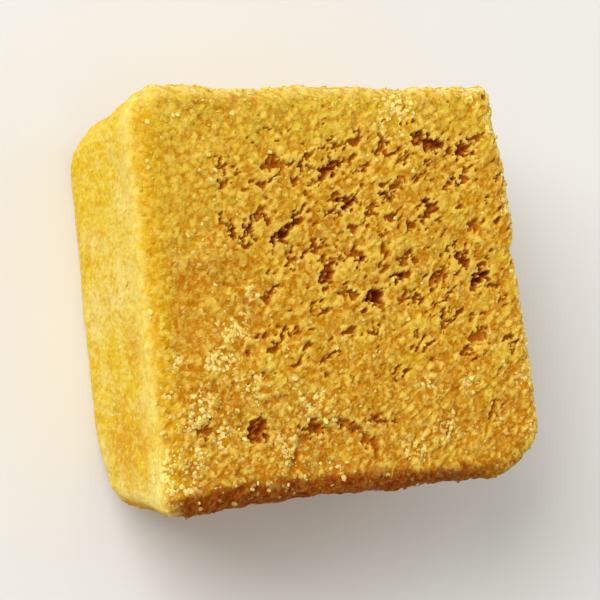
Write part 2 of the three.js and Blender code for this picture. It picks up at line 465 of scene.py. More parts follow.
# ---- Relief of the crumb -----------------------------------------------------------------------------


@dataclass(frozen=True)
class Pore:
    """A hole of the face: its middle, length, width and depth, and the degrees it is turned from +X."""

    x: float
    y: float
    long: float
    wide: float
    deep: float
    degrees: float


# Each row holds one pore's fields. Most pores lie along the grain, which climbs to the right.
PORE_ROWS = (
    (4.3, -0.8, 3.4, 2.5, 2.1, 15), (7.6, 1.4, 2.8, 1.4, 1.4, 16), (3.0, 3.5, 1.9, 1.5, 1.8, 26),
    (-1.9, 2.6, 3.1, 1.6, 1.4, 65), (0.9, -0.2, 1.8, 1.4, 0.7, 30), (-12.0, -16.2, 3.6, 2.9, 1.3, 50),
    (-7.4, 7.0, 4.0, 1.6, 1.7, 8), (-5.4, 8.3, 2.8, 1.6, 1.4, 50), (-9.0, 9.4, 2.6, 1.4, 0.9, 10),
    (-11.0, 8.7, 1.9, 1.5, 1.4, 50), (-13.3, 8.3, 3.0, 1.4, 1.0, -80), (-14.6, 9.6, 1.9, 1.4, 0.7, -80),
    (-12.1, 6.9, 1.6, 1.4, 0.8, 40), (-2.8, 5.7, 2.4, 1.4, 1.0, 33), (-6.0, 4.4, 1.5, 1.4, 0.7, 50),
    (1.7, 10.6, 3.9, 1.7, 1.5, 37), (-0.1, 15.0, 4.8, 1.7, 1.4, 30), (-3.6, 15.3, 2.7, 1.6, 0.9, 55),
    (-7.2, 15.8, 3.3, 1.8, 0.9, -34), (-14.7, 16.0, 2.2, 1.5, 0.9, -80), (-14.3, 13.5, 1.5, 1.4, 0.7, 0),
    (1.2, 18.0, 3.0, 1.4, 0.7, 15), (6.6, 17.1, 2.9, 1.5, 0.8, 65), (6.8, 10.8, 1.6, 1.4, 1.0, 60),
    (4.8, 9.4, 1.8, 1.4, 0.7, -22), (8.6, 12.3, 2.8, 1.4, 0.8, 45), (10.3, 15.5, 1.6, 1.4, 0.6, -8),
    (12.9, 17.7, 6.0, 1.6, 1.4, -10), (18.1, 16.6, 4.6, 1.7, 1.3, 28), (12.4, 9.9, 3.0, 1.7, 1.5, 12),
    (15.2, 12.6, 2.2, 1.5, 1.2, 50), (17.4, 12.9, 2.2, 1.4, 0.7, 10), (10.3, 7.4, 3.2, 1.4, 0.8, 35),
    (14.6, 4.7, 2.0, 1.4, 0.7, 31), (16.6, 3.0, 3.1, 1.5, 1.2, -50), (18.6, 0.6, 3.7, 1.7, 1.6, 36),
    (13.0, 0.9, 2.8, 1.4, 0.9, 45), (9.6, -1.2, 1.6, 1.4, 1.1, -60), (13.5, -3.4, 1.7, 1.5, 1.0, 60),
    (8.2, 3.4, 2.2, 1.4, 0.7, 10), (17.9, 7.0, 2.0, 1.4, 0.7, 30), (3.6, -4.9, 2.0, 1.4, 0.8, 30),
    (-7.9, -4.9, 2.6, 1.4, 0.8, 50), (17.9, -6.3, 3.0, 1.4, 0.6, 45), (15.6, -7.8, 2.2, 1.4, 0.7, 5),
    (6.3, -10.5, 2.6, 1.4, 0.6, 25), (-5.0, -15.9, 5.0, 1.5, 0.9, 14), (-0.2, -16.2, 3.0, 1.4, 0.8, -25),
    (3.8, -15.4, 3.6, 1.4, 0.7, -15), (1.6, -18.0, 1.6, 1.4, 0.8, -5), (19.2, -15.2, 3.5, 1.6, 0.6, 40),
    (-18.9, -15.5, 2.6, 1.4, 0.8, 10),
)
PORES = tuple(Pore(*row) for row in PORE_ROWS)


@dataclass(frozen=True)
class Scar:
    """Where crumb broke off an edge or a side: its middle, how far it reaches and how deep it is."""

    at: tuple[float, float, float]
    reach: float
    deep: float


@dataclass(frozen=True)
class Patch:
    """A soft round patch of the surface that differs from its neighbourhood."""

    x: float
    y: float
    z: float
    reach: float
    share: float

    def at(self, points: Array) -> Array:
        """Its share at each point, fading to nothing at its reach."""
        away = np.linalg.norm(points - np.array((self.x, self.y, self.z)), axis=1) / self.reach
        return self.share * (1 - eased(np.clip(away, 0, 1)))


def patches(*rows: tuple[float, float, float, float, float]) -> tuple[Patch, ...]:
    """Patches from rows of numbers: each one's middle, reach and share."""
    return tuple(Patch(*row) for row in rows)


def patched(points: Array, strewn: tuple[Patch, ...]) -> Array:
    """The strongest of several patches at each point, (n,)."""
    return np.max([patch.at(points) for patch in strewn], axis=0)


# Patches of the face where pale crumb lies open.
PALE_PATCHES = patches(
    (8.7, 21.3, 26, 4.2, 0.9), (19.9, 23.6, 26, 2.6, 1.0), (22.4, 19.5, 26, 2.6, 0.7),
    (22.6, 9.3, 26, 1.6, 1.0), (24.0, -8.1, 25.5, 2.4, 0.6), (23.4, -11.7, 25.5, 2.2, 0.8),
    (24.2, -18.0, 24.5, 2.8, 1.0), (-14.2, -3.2, 26, 3.2, 0.8), (-11.7, 0.2, 26, 1.6, 0.6),
    (-16.5, -7.5, 26, 3.0, 0.8), (-21.8, -7.5, 26, 1.6, 0.9), (-18.8, -11.6, 26, 2.8, 1.0),
    (-12.5, -10.5, 26, 2.6, 0.6), (-20.9, -14.3, 26, 2.4, 0.8), (-16.9, -16.3, 26, 2.4, 0.8),
    (-8.5, -18.4, 26, 2.8, 1.0), (-20.5, -18.6, 26, 2.4, 0.6), (-5.2, -13.8, 26, 2.8, 0.6),
    (10.4, -11.9, 26, 1.6, 0.9), (16.0, -12.3, 26, 1.6, 0.6), (11.9, -17.7, 26, 2.6, 0.6),
    (7.8, -19.2, 25.5, 2.6, 0.8), (-23.6, -20.5, 25.5, 4.5, 0.8),
)

# Patches of the left side that are pale.
BLANCHED_PATCHES = patches(
    (-24.5, 3.5, 16.5, 9.0, 1.0), (-24.5, 13.0, 20.0, 6.0, 0.8), (-24.5, 9.5, 7.5, 5.0, 0.7),
    (-24.5, 0.0, 6.5, 7.0, 0.9), (-24.5, -9.0, 8.0, 5.0, 0.5), (-24.5, -12.0, 21.5, 4.5, 0.6),
    (-23.5, -17.5, 4.5, 4.5, 1.0), (-24.0, -22.0, 10.0, 4.5, 1.0), (-24.3, -23.0, 16.0, 4.5, 1.0),
    (-24.5, -22.5, 22.0, 5.0, 1.0), (-24.5, 19.0, 18.0, 4.0, 0.5),
)

# Patches of the left side that are of a deeper yellow.
OCHRE_PATCHES = patches(
    (-24.5, -15.5, 12.5, 8.5, 1.0), (-24.5, -16.5, 18.0, 4.5, 0.8), (-24.5, -5.0, 20.0, 5.0, 0.8),
    (-24.5, 8.5, 11.0, 2.0, 0.8), (-24.5, 17.0, 23.0, 3.5, 0.4),
)

# Patches of the face that are smoother and browner.
TOASTED_PATCHES = patches(
    (-18.0, 2.4, 26, 6.0, 0.9), (-18.5, -4.0, 26, 6.0, 0.9), (-16.0, 8.0, 26, 5.5, 0.6),
    (-20.9, -12.5, 26, 2.2, 0.9), (-19.3, -15.4, 26, 2.0, 0.8), (-12.0, -16.3, 25, 2.2, 1.0),
    (19.8, -14.8, 26, 2.8, 1.0), (9.0, -10.4, 26, 2.0, 0.5), (4.0, 0.0, 26, 7.0, 0.35),
)


@dataclass(frozen=True)
class SolidRelief:
    """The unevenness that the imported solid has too: lumps, pores and scars.

    Here the pores' walls are steeper and closer: bowl is the power by which a pore's depth falls off
    outwards, and narrowed the share of its size that it has.
    """

    form: BlockForm
    seed: int = 417
    left_calm: float = 0.4
    calm_band: tuple[float, float] = (21.0, 23.7)
    lumps: tuple[tuple[float, float], ...] = ((11, 0.42), (5.2, 0.3), (2.7, 0.24))
    pores_from: tuple[float, float] = (23.5, 25.5)
    fades_below: float = 2.0
    tear_apart: float = 1.7
    tear_reach: float = 0.55
    tear_seed: int = 431
    bowl: float = 3.0
    narrowed: float = 0.92
    scars: tuple[Scar, ...] = (
        Scar((-2.6, -20.5, 25), 5.0, 0.9),
        Scar((12.0, -24.0, 23), 3.2, 1.1),
        Scar((-16.0, -25.0, 21), 3.0, 0.8),
        Scar((24.2, 4.0, 25), 2.6, 0.9),
        Scar((24.6, -9.0, 12), 5.0, 1.4),
        Scar((23.0, 17.0, 8), 5.5, 1.5),
        Scar((6.0, 25.0, 9), 6.0, 1.5),
        Scar((-13.0, 25.4, 17), 4.0, 1.0),
        Scar((14.0, 24.6, 22), 3.0, 0.9),
        Scar((24.0, -22.5, 23), 5.5, 1.3),
    )

    def pore_depth(self, points: Array) -> Array:
        """How deep the pores are: on ellipses with torn rims, one less a power of how far out."""
        depth = np.zeros(len(points))
        plan = points * np.array([1, 1, 0])
        tears = [soft_noise(plan / self.tear_apart, self.tear_seed + axis) for axis in (0, 1)]
        x, y = (plan[:, axis] + self.tear_reach * tears[axis] for axis in (0, 1))
        for pore in PORES:
            turn = math.radians(pore.degrees)
            dx, dy = x - pore.x, y - pore.y
            lengthwise = dx * math.cos(turn) + dy * math.sin(turn)
            sideways = dy * math.cos(turn) - dx * math.sin(turn)
            away = 2 * np.hypot(lengthwise / pore.long, sideways / pore.wide) / self.narrowed
            depth = np.maximum(depth, pore.deep * (1 - away**self.bowl))
        return depth * rise(points[:, Z], *self.pores_from)

    def scar_depth(self, points: Array) -> Array:
        """How deep the scars are: each is a soft hollow round its middle."""
        depth = np.zeros(len(points))
        for scar in self.scars:
            away = np.linalg.norm(points - np.array(scar.at), axis=1) / scar.reach
            depth = np.maximum(depth, scar.deep * np.clip(1 - away**2, 0, 1) ** 2)
        return depth

    def lump_height(self, points: Array) -> Array:
        """How far the lumps stand out: layers of soft noise, calmer towards the left side."""
        calm = mix(1.0, self.left_calm, rise(-points[:, X], *self.calm_band))
        height = np.zeros(len(points))
        for layer, (apart, reach) in enumerate(self.lumps):
            height += reach * soft_noise(points / apart, self.seed + layer)
        return calm * height


# The regions whose shares the finish reads, on the crumbs and on the block.
CRUMB_ZONES = ("face", "near", "pale", "toasted", "yellow", "shoulder", "crust_and_shade")
BLOCK_ZONES = (*CRUMB_ZONES, "left", "blanched", "ochre", "ridge_and_highlight", "rim")


@dataclass(frozen=True)
class Regions:
    """Where on the block each kind of surface lies, as shares from 0 to 1 for every point."""

    points: Array
    normals: Array
    form: BlockForm

    # How the normals turn from one side to the next.
    face_tilt: Step = Step(Z, 0.3, 0.85)
    left_tilt: Step = Step(X, -0.45, -0.8)
    near_tilt: Step = Step(Y, -0.35, -0.8)

    # Where the pores lie thick.
    pores_rightwards: Step = Step(X, -19.0, -9.0)
    pores_from_near: Step = Step(Y, -16.0, -7.0)
    near_pores: float = 0.25
    pores_to_far: Step = Step(Y, 18.0, 22.0)
    far_pores: float = 0.35
    side_pores: float = 0.5
    side_pores_vary: float = 0.35
    side_pores_apart: float = 6.0
    side_pores_seed: int = 63

    # How coarse the crumb is.
    from_left_edge: Step = Step(X, -23.5, -17.0)
    left_edge_ends: Step = Step(Y, -6.0, -12.0)
    left_edge_crumb: float = 0.4
    to_near_end: Step = Step(Y, -8.0, -15.0)
    near_end_crumb: float = 1.6
    toasted_crumb: float = 0.4
    side_crumb: float = 1.1
    left_side_crumb: float = 0.12

    # Colour zones of the face.
    toasted_low: Step = Step(Y, -8.0, -17.0)
    toasted_low_share: float = 0.4
    toasted_dent_share: float = 0.7
    yellow_leftwards: Step = Step(X, -8.0, -20.0)
    yellow_farwards: Step = Step(Y, 1.0, 12.0)
    yellow_corner_share: float = 0.85
    yellow_far_end: Step = Step(Y, 14.0, 22.0)
    shoulder_tilt: Step = Step(Z, 0.2, 0.6)
    shoulder_leftwards: Step = Step(X, -21.0, -23.0)

    # The worn edges, the pale left one partly a painted highlight.
    at_face: Step = Step(Z, 20.0, 23.0)
    ridge_leftwards: Step = Step(X, -21.5, -23.0)
    ridge_normal: float = 0.2
    ridge_spread: float = 0.38
    rim_outwards: tuple[float, float] = (0.1, 0.5)
    rim_far_share: float = 0.7
    rim_tilt: Step = Step(Z, 0.1, 0.4)

    # The browned band, darkened further as painted shade: its inner edge is the ramp of crust_wide,
    # narrower towards the right.
    crust_wide: tuple[float, float] = (1.6, 3.4)
    crust_narrows: Step = Step(X, 0.0, 10.0)
    crust_narrowed: float = 0.75
    crust_ragged: float = 0.35
    crust_apart: float = 2.2
    crust_seed: int = 61
    crust_from_left: Step = Step(X, -25.0, -22.0)
    crust_to_right: Step = Step(X, 15.0, 20.0)
    crust_right_share: float = 0.4
    crust_upwards: Step = Step(Z, 14.0, 22.0)

    # The dent: an oval with a ragged rim, along which the crumb is broken.
    dent_at: tuple[float, float] = (-2.4, -20.5)
    dent_half: tuple[float, float] = (6.0, 5.0)
    dent_ragged: float = 0.06
    dent_apart: float = 1.8
    dent_seed: int = 62
    dent_rim: tuple[float, float] = (0.8, 1.0)
    crease_at: float = 0.93
    crease_spread: float = 0.09
    crease_apart: float = 1.5
    crease_seed: int = 64
    crease_breaks: tuple[float, float] = (-0.5, 0.1)
    crease_farwards: Step = Step(Y, -22.0, -19.5)

    @cached_property
    def face(self) -> Array:
        """1 on the porous face, 0 on the sides."""
        return self.face_tilt.at(self.normals)

    @cached_property
    def left(self) -> Array:
        """1 on the knife-cut left side."""
        return self.left_tilt.at(self.normals)

    @cached_property
    def near(self) -> Array:
        """1 on the near side."""
        return self.near_tilt.at(self.normals)

    @cached_property
    def porous(self) -> Array:
        """How thickly the pores lie: most in the middle and right of the face."""
        points = self.points
        on_face = self.pores_rightwards.at(points)
        on_face *= mix(self.near_pores, 1.0, self.pores_from_near.at(points))
        on_face *= mix(1.0, self.far_pores, self.pores_to_far.at(points))
        varied = self.side_pores_vary * soft_noise(points / self.side_pores_apart, self.side_pores_seed)
        on_sides = (1 - self.left) * np.clip(self.side_pores + varied, 0, 1)
        return mix(on_sides, on_face, self.face)

    @cached_property
    def crumbly(self) -> Array:
        """How coarse the crumb is: least on the left side and on the smooth toasted patches."""
        points = self.points
        inwards = np.maximum(self.from_left_edge.at(points), self.left_edge_ends.at(points))
        on_face = mix(self.left_edge_crumb, 1.0, inwards)
        on_face *= mix(1.0, self.near_end_crumb, self.to_near_end.at(points))
        on_face *= 1 - (1 - self.toasted_crumb) * self.toasted
        return mix(mix(self.side_crumb, self.left_side_crumb, self.left), on_face, self.face)

    @cached_property
    def pale(self) -> Array:
        """Where pale crumb lies open, in single patches."""
        return patched(self.points, PALE_PATCHES)

    @cached_property
    def blanched(self) -> Array:
        """Where the left side is pale."""
        return self.left * patched(self.points, BLANCHED_PATCHES)

    @cached_property
    def ochre(self) -> Array:
        """Where the left side is of a deeper yellow."""
        return self.left * patched(self.points, OCHRE_PATCHES)

    @cached_property
    def toasted(self) -> Array:
        """Where the crumb is smoother and browner: in patches, along the near end and in the dent."""
        low = self.toasted_low_share * self.toasted_low.at(self.points)
        strongest = np.maximum(low, self.toasted_dent_share * self.dent)
        return np.maximum(patched(self.points, TOASTED_PATCHES), strongest)

    @cached_property
    def yellow(self) -> Array:
        """Where the face is yellower: its far end and its far left corner."""
        corner = self.yellow_leftwards.at(self.points) * self.yellow_farwards.at(self.points)
        return np.maximum(self.yellow_corner_share * corner, self.yellow_far_end.at(self.points))

    @cached_property
    def shoulder(self) -> Array:
        """The face's strip along its left edge, of a deeper yellow."""
        return self.shoulder_tilt.at(self.normals) * self.shoulder_leftwards.at(self.points)

    @cached_property
    def ridge_and_highlight(self) -> Array:
        """The pale worn edge between the left side and the face, partly a painted highlight, by how far
        the normal leans out.
        """
        lean = (self.normals[:, Z] - self.ridge_normal) / self.ridge_spread
        return self.ridge_leftwards.at(self.points) * np.exp(-(lean**2)) * self.at_face.at(self.points)

    @cached_property
    def crust_and_shade(self) -> Array:
        """The browned band along the near edge, darkened further as painted shade, by how far in from the
        outline's near side it lies.
        """
        points = self.points
        left, right = (self.form.corners[name].at for name in ("near_left", "near_right"))
        inwards = points[:, Y] - mix(left[Y], right[Y], (points[:, X] - left[X]) / (right[X] - left[X]))
        inwards /= mix(1.0, self.crust_narrowed, self.crust_narrows.at(points))
        inwards += self.crust_ragged * ragged_noise(points / self.crust_apart, self.crust_seed)
        along = self.crust_from_left.at(points)
        along *= mix(1.0, self.crust_right_share, self.crust_to_right.at(points))
        band = (1 - rise(inwards, *self.crust_wide)) * along
        return band * self.crust_upwards.at(points) * (1 - self.left)

    @cached_property
    def from_dent(self) -> Array:
        """How far each point is from the middle of the dent, 1 at its ragged oval rim."""
        away = (self.points[:, [X, Y]] - np.array(self.dent_at)) / np.array(self.dent_half)
        ragged = self.dent_ragged * ragged_noise(self.points / self.dent_apart, self.dent_seed)
        return np.hypot(away[:, X], away[:, Y]) + ragged

    @cached_property
    def dent(self) -> Array:
        """Where a flake came off near the middle of the near edge."""
        return self.face * (1 - rise(self.from_dent, *self.dent_rim))

    @cached_property
    def crease(self) -> Array:
        """The broken crease along the dent's rim, except at its near end."""
        noise = soft_noise(self.points / self.crease_apart, self.crease_seed)
        from_crease = (self.from_dent - self.crease_at) / self.crease_spread
        at_crease = self.face * np.exp(-(from_crease**2)) * self.crease_farwards.at(self.points)
        return at_crease * rise(noise, *self.crease_breaks)

    @cached_property
    def rim(self) -> Array:
        """The worn edges at the right and far sides of the face, where pale crumb lies open."""
        outwards = np.maximum(self.normals[:, X], self.rim_far_share * self.normals[:, Y])
        turned = rise(outwards, *self.rim_outwards) * self.rim_tilt.at(self.normals)
        return turned * self.at_face.at(self.points)


@dataclass(frozen=True)
class Domes:
    """Domes round strewn points that lie apart millimetres from each other, each of its own height.

    A dome's profile is a half circle that ends at its reach, a share of apart, less its ground. Its
    height is high times the sum of two parts: the profile times least plus spread times the dome's own
    number, and offset times that number less a half.
    """

    apart: float
    high: float
    reach: float
    ground: float
    least: float
    spread: float
    offset: float

    def height(self, away: Array, own: Array) -> Array:
        """Heights for how far points are from their dome's middle and for its own number, (n,)."""
        dome = np.sqrt(np.clip(1 - (away / self.reach) ** 2, 0, 1)) - self.ground
        return self.high * (dome * (self.least + self.spread * own) + self.offset * (own - 0.5))


class Layer(IntEnum):
    """The layers of the finer relief, by how far their seeds lie from its own."""

    WARP = 0
    GRANULES = 10
    CLUMPS = 20
    RUBBLE = 30
    CREVICES = 40
    STREAKS = 50
    CRUMB = 60
    TEARS = 70


@dataclass(frozen=True)
class FineRelief:
    """The finer unevenness that only the look has.

    Granules and clumps are domes round strewn points, crevices are where ragged noise along the grain
    is high, and streaks are noise drawn out downwards.
    """

    regions: Regions
    seed: int = 90
    grain_slope: float = 0.32
    grain_bend: float = 0.012
    warp_apart: float = 1.3
    warp_reach: float = 0.3
    tear_apart: float = 0.9
    tear_reach: float = 0.34
    tear_seeds_apart: int = 10
    rubble_apart: float = 0.75
    rubble_layers: int = 2
    rubble_share: float = 0.4
    rubble_ramp: tuple[float, float] = (-0.9, 0.5)
    crumb_size: tuple[float, float, float] = (1.35, 0.95, 0.95)
    crumb_high: float = 0.05
    crumb_kept: float = 0.7
    granule: Domes = Domes(0.74, 0.14, reach=0.9, ground=0.55, least=0.4, spread=0.9, offset=0.7)
    clump: Domes = Domes(1.7, 0.14, reach=0.95, ground=0.6, least=1.0, spread=0.0, offset=0.8)
    crease_ramp: tuple[float, float] = (0.4, 0.75)
    crevice_size: tuple[float, float, float] = (1.7, 1.1, 1.1)
    crevice_layers: int = 4
    crevice_kept: float = 0.62
    crevice_deep: float = 0.6
    crevice_from: tuple[float, float] = (2.9, 0.95)
    crevice_wall: float = 1.1
    crevice_between: float = 0.8
    streak_size: tuple[float, float, float] = (1.6, 1.6, 3.2)
    streak_high: float = 0.035

    @cached_property
    def along_grain(self) -> Array:
        """The points with their second coordinate measured square to the grain.

        The grain's lines climb to the right and bend upwards: y less slope times x less half the bend
        times x squared stays the same along each. Soft noise warps them, so that nothing is regular.
        """
        points = self.regions.points
        seed = self.seed + Layer.WARP
        warp = [soft_noise(points / self.warp_apart, seed + axis) for axis in (X, Y, Z)]
        warped = points + self.warp_reach * np.stack(warp, axis=1)
        x = warped[:, X]
        warped[:, Y] -= self.grain_slope * x + self.grain_bend * x**2 / 2
        return warped

    @cached_property
    def torn(self) -> Array:
        """The points, moved by ragged noise: the solid's pores are looked up there, to tear their rims."""
        points = self.regions.points
        seeds = (self.seed + Layer.TEARS + self.tear_seeds_apart * axis for axis in (X, Y, Z))
        tears = [ragged_noise(points / self.tear_apart, seed) for seed in seeds]
        return points + self.tear_reach * np.stack(tears, axis=1)

    @cached_property
    def rubble(self) -> Array:
        """The share of its depth that a pore keeps: crumbs stand in it where ragged noise is low."""
        sized = self.regions.points / self.rubble_apart
        noise = ragged_noise(sized, self.seed + Layer.RUBBLE, self.rubble_layers)
        return mix(1 - self.rubble_share, 1.0, rise(noise, *self.rubble_ramp))

    @cached_property
    def crumb(self) -> Array:
        """Height of the crumb: ragged noise along the grain."""
        sized = self.along_grain / np.array(self.crumb_size)
        return self.crumb_high * ragged_noise(sized, self.seed + Layer.CRUMB, kept=self.crumb_kept)

    @cached_property
    def seeds(self) -> tuple[Array, Array]:
        """How far each point is from its granule's middle, in granules, and that granule's own number."""
        return nearest_seed(self.along_grain / self.granule.apart, self.seed + Layer.GRANULES)

    @cached_property
    def granules(self) -> Array:
        """Height of the granules."""
        return self.granule.height(*self.seeds)

    @cached_property
    def between(self) -> Array:
        """1 in the creases between granules, 0 on them."""
        return rise(self.seeds[0], *self.crease_ramp)

    @cached_property
    def clumps(self) -> Array:
        """Height of the clumps that the granules hold together in."""
        seeds = nearest_seed(self.along_grain / self.clump.apart, self.seed + Layer.CLUMPS)
        return self.clump.height(*seeds)

    @cached_property
    def crevices(self) -> Array:
        """Depth of the holes between the crumbs, over a threshold that falls where they lie thick.

        The creases between granules raise the noise, so the holes end at round crumbs.
        """
        sized = self.along_grain / np.array(self.crevice_size)
        noise = ragged_noise(sized, self.seed + Layer.CREVICES, self.crevice_layers, self.crevice_kept)
        noise += self.crevice_between * (self.seeds[0] - 0.5)
        threshold = mix(*self.crevice_from, np.clip(self.regions.porous, 0, 1))
        return self.crevice_deep * rise(noise, threshold, threshold + self.crevice_wall)

    @cached_property
    def streaks(self) -> Array:
        """Fine streaks on the left side, which run down."""
        stretched = self.regions.points / np.array(self.streak_size)
        return self.streak_high * ragged_noise(stretched, self.seed + Layer.STREAKS)


# ---- The block ---------------------------------------------------------------------------------------


@dataclass
class SweetBlock:
    """The block of sweet, one closed mesh.

    The mesh's counts come first. hollow_rounds says how wide the mean is that hollows are measured from,
    hollow_on_left what share of them counts on the smooth left side, and deepest_tint how deep a pore is
    when its painted shade gets no browner. toasted_crevices, side_granules and side_clumps are shares of
    what their depth or height is elsewhere. The dent is dent_deep, and only a share of that at its near
    end.
    """

    form: BlockForm = field(default_factory=BlockForm)
    cells_across: int = 220
    cells_along: int = 228
    edge_rows: int = 9
    wall_rows: int = 60
    underside_rings: int = 26
    hollow_rounds: int = 12
    hollow_on_left: float = 0.2
    deepest_tint: float = 1.6
    toasted_crevices: float = 0.3
    dent_deep: float = 0.6
    dent_shallows: Step = Step(Y, -16.0, -20.0)
    dent_near_share: float = 0.4
    crease_deep: float = 0.55
    side_granules: float = 0.6
    side_clumps: float = 2.4
    points: Array = field(init=False)
    faces: Array = field(init=False)
    values: dict[str, Array] = field(init=False)
    plain: Array = field(init=False)
    regions: Regions = field(init=False)

    def plain_skin(self) -> Skin:
        """The plain form's surface: the face's grid, the worn edge, the walls and the underside."""
        form, skin = self.form, Skin()
        across = np.linspace(-1, 1, self.cells_across + 1)
        along = np.linspace(-1, 1, self.cells_along + 1)
        grid_along, grid_across = (part.ravel() for part in np.meshgrid(along, across, indexing="ij"))
        plan = form.in_shape(form.inset("edge"), grid_across, grid_along)
        face = skin.add(np.column_stack([plan, np.full(len(plan), form.thickness)]))
        face = face.reshape(len(along), len(across))
        skin.grid(face)

        # The rim, anticlockwise from the near left corner.
        runs = (np.s_[0, :-1], np.s_[:-1, -1], np.s_[-1, :0:-1], np.s_[:0:-1, 0])
        ring = np.concatenate([face[run] for run in runs])
        rim_across, rim_along = grid_across[ring], grid_along[ring]
        for points in form.worn_edge(rim_across, rim_along, self.edge_rows):
            ring = self._next_ring(skin, ring, points)
        for points in form.side_wall(rim_across[::2], rim_along[::2], self.wall_rows):
            ring = self._next_ring(skin, ring, points)
        foot = points[::2]
        middle = foot.mean(axis=0)
        for inwards in np.arange(1, self.underside_rings) / self.underside_rings:
            ring = self._next_ring(skin, ring, mix(foot, middle, inwards))
        skin.close(ring, middle)
        return skin

    @staticmethod
    def _next_ring(skin: Skin, ring: Array, points: Array) -> Array:
        """Adds a ring below another one, joins the two, and returns the new one's numbers."""
        lower = skin.add(points)
        if len(lower) == len(ring):
            skin.band(ring, lower)
        else:
            skin.halving(ring, lower)
        return lower

    def shape(self) -> None:
        """Works out the block's points, faces and the numbers that its finish reads."""
        skin = self.plain_skin()
        plain, self.faces = skin.points, skin.faces
        normals = point_normals(plain, self.faces)
        regions = Regions(plain, normals, self.form)
        solid = SolidRelief(self.form)
        fine = FineRelief(regions)

        crevices = fine.crevices * (1 - regions.left) * mix(1.0, self.toasted_crevices, regions.toasted)
        pores = solid.pore_depth(fine.torn) * fine.rubble
        pits = np.maximum(np.maximum(pores, crevices), self.crease_deep * regions.crease)
        granules = fine.granules * mix(self.side_granules, 1.0, regions.face)
        clumps = fine.clumps * mix(self.side_clumps, 1.0, regions.face)
        rough = regions.crumbly * (granules + clumps + fine.crumb) + regions.left * fine.streaks
        dent = self.dent_deep * regions.dent
        dent *= mix(1.0, self.dent_near_share, self.dent_shallows.at(plain))
        height = solid.lump_height(plain) - solid.scar_depth(plain) - dent - pits + rough
        height *= rise(plain[:, Z], 0.0, solid.fades_below)
        self.points = plain + normals * height[:, None]
        self.plain, self.regions = plain, regions
        # hollow, between and pit feed the finish's painted shade in hollows, creases and pores, and hollow
        # also its painted highlight on raised crumb.
        hollow = neighbour_mean(height, self.faces, self.hollow_rounds) - height
        values = {
            "own": fine.seeds[1],
            "between": fine.between * regions.crumbly,
            "hollow": 0.5 + hollow * mix(1.0, self.hollow_on_left, regions.left),
            "pit": pits / self.deepest_tint,
        }
        values |= {name: getattr(regions, name) for name in BLOCK_ZONES}
        self.values = {name: np.clip(numbers, 0, 1) for name, numbers in values.items()}

    def build(self, finish: SweetFinish) -> bpy.types.Object:
        """Makes the block's mesh and dresses it.

        Args:
            finish: what it is made of.

        Returns:
            The piece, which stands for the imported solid.
        """
        self.shape()
        piece = mesh_object("crumbly_block", self.points, self.faces, self.values)
        piece.data.materials.append(finish.material())
        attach(piece, BODY)
        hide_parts(BLOCK_NODE)
        return piece


# ---- Crumbs ------------------------------------------------------------------------------------------


class CrumbKind(Enum):
    """The kinds of crumb that cling to the block."""

    GRAINS = "clinging_grains"
    CRUMBS = "pale_crumbs"


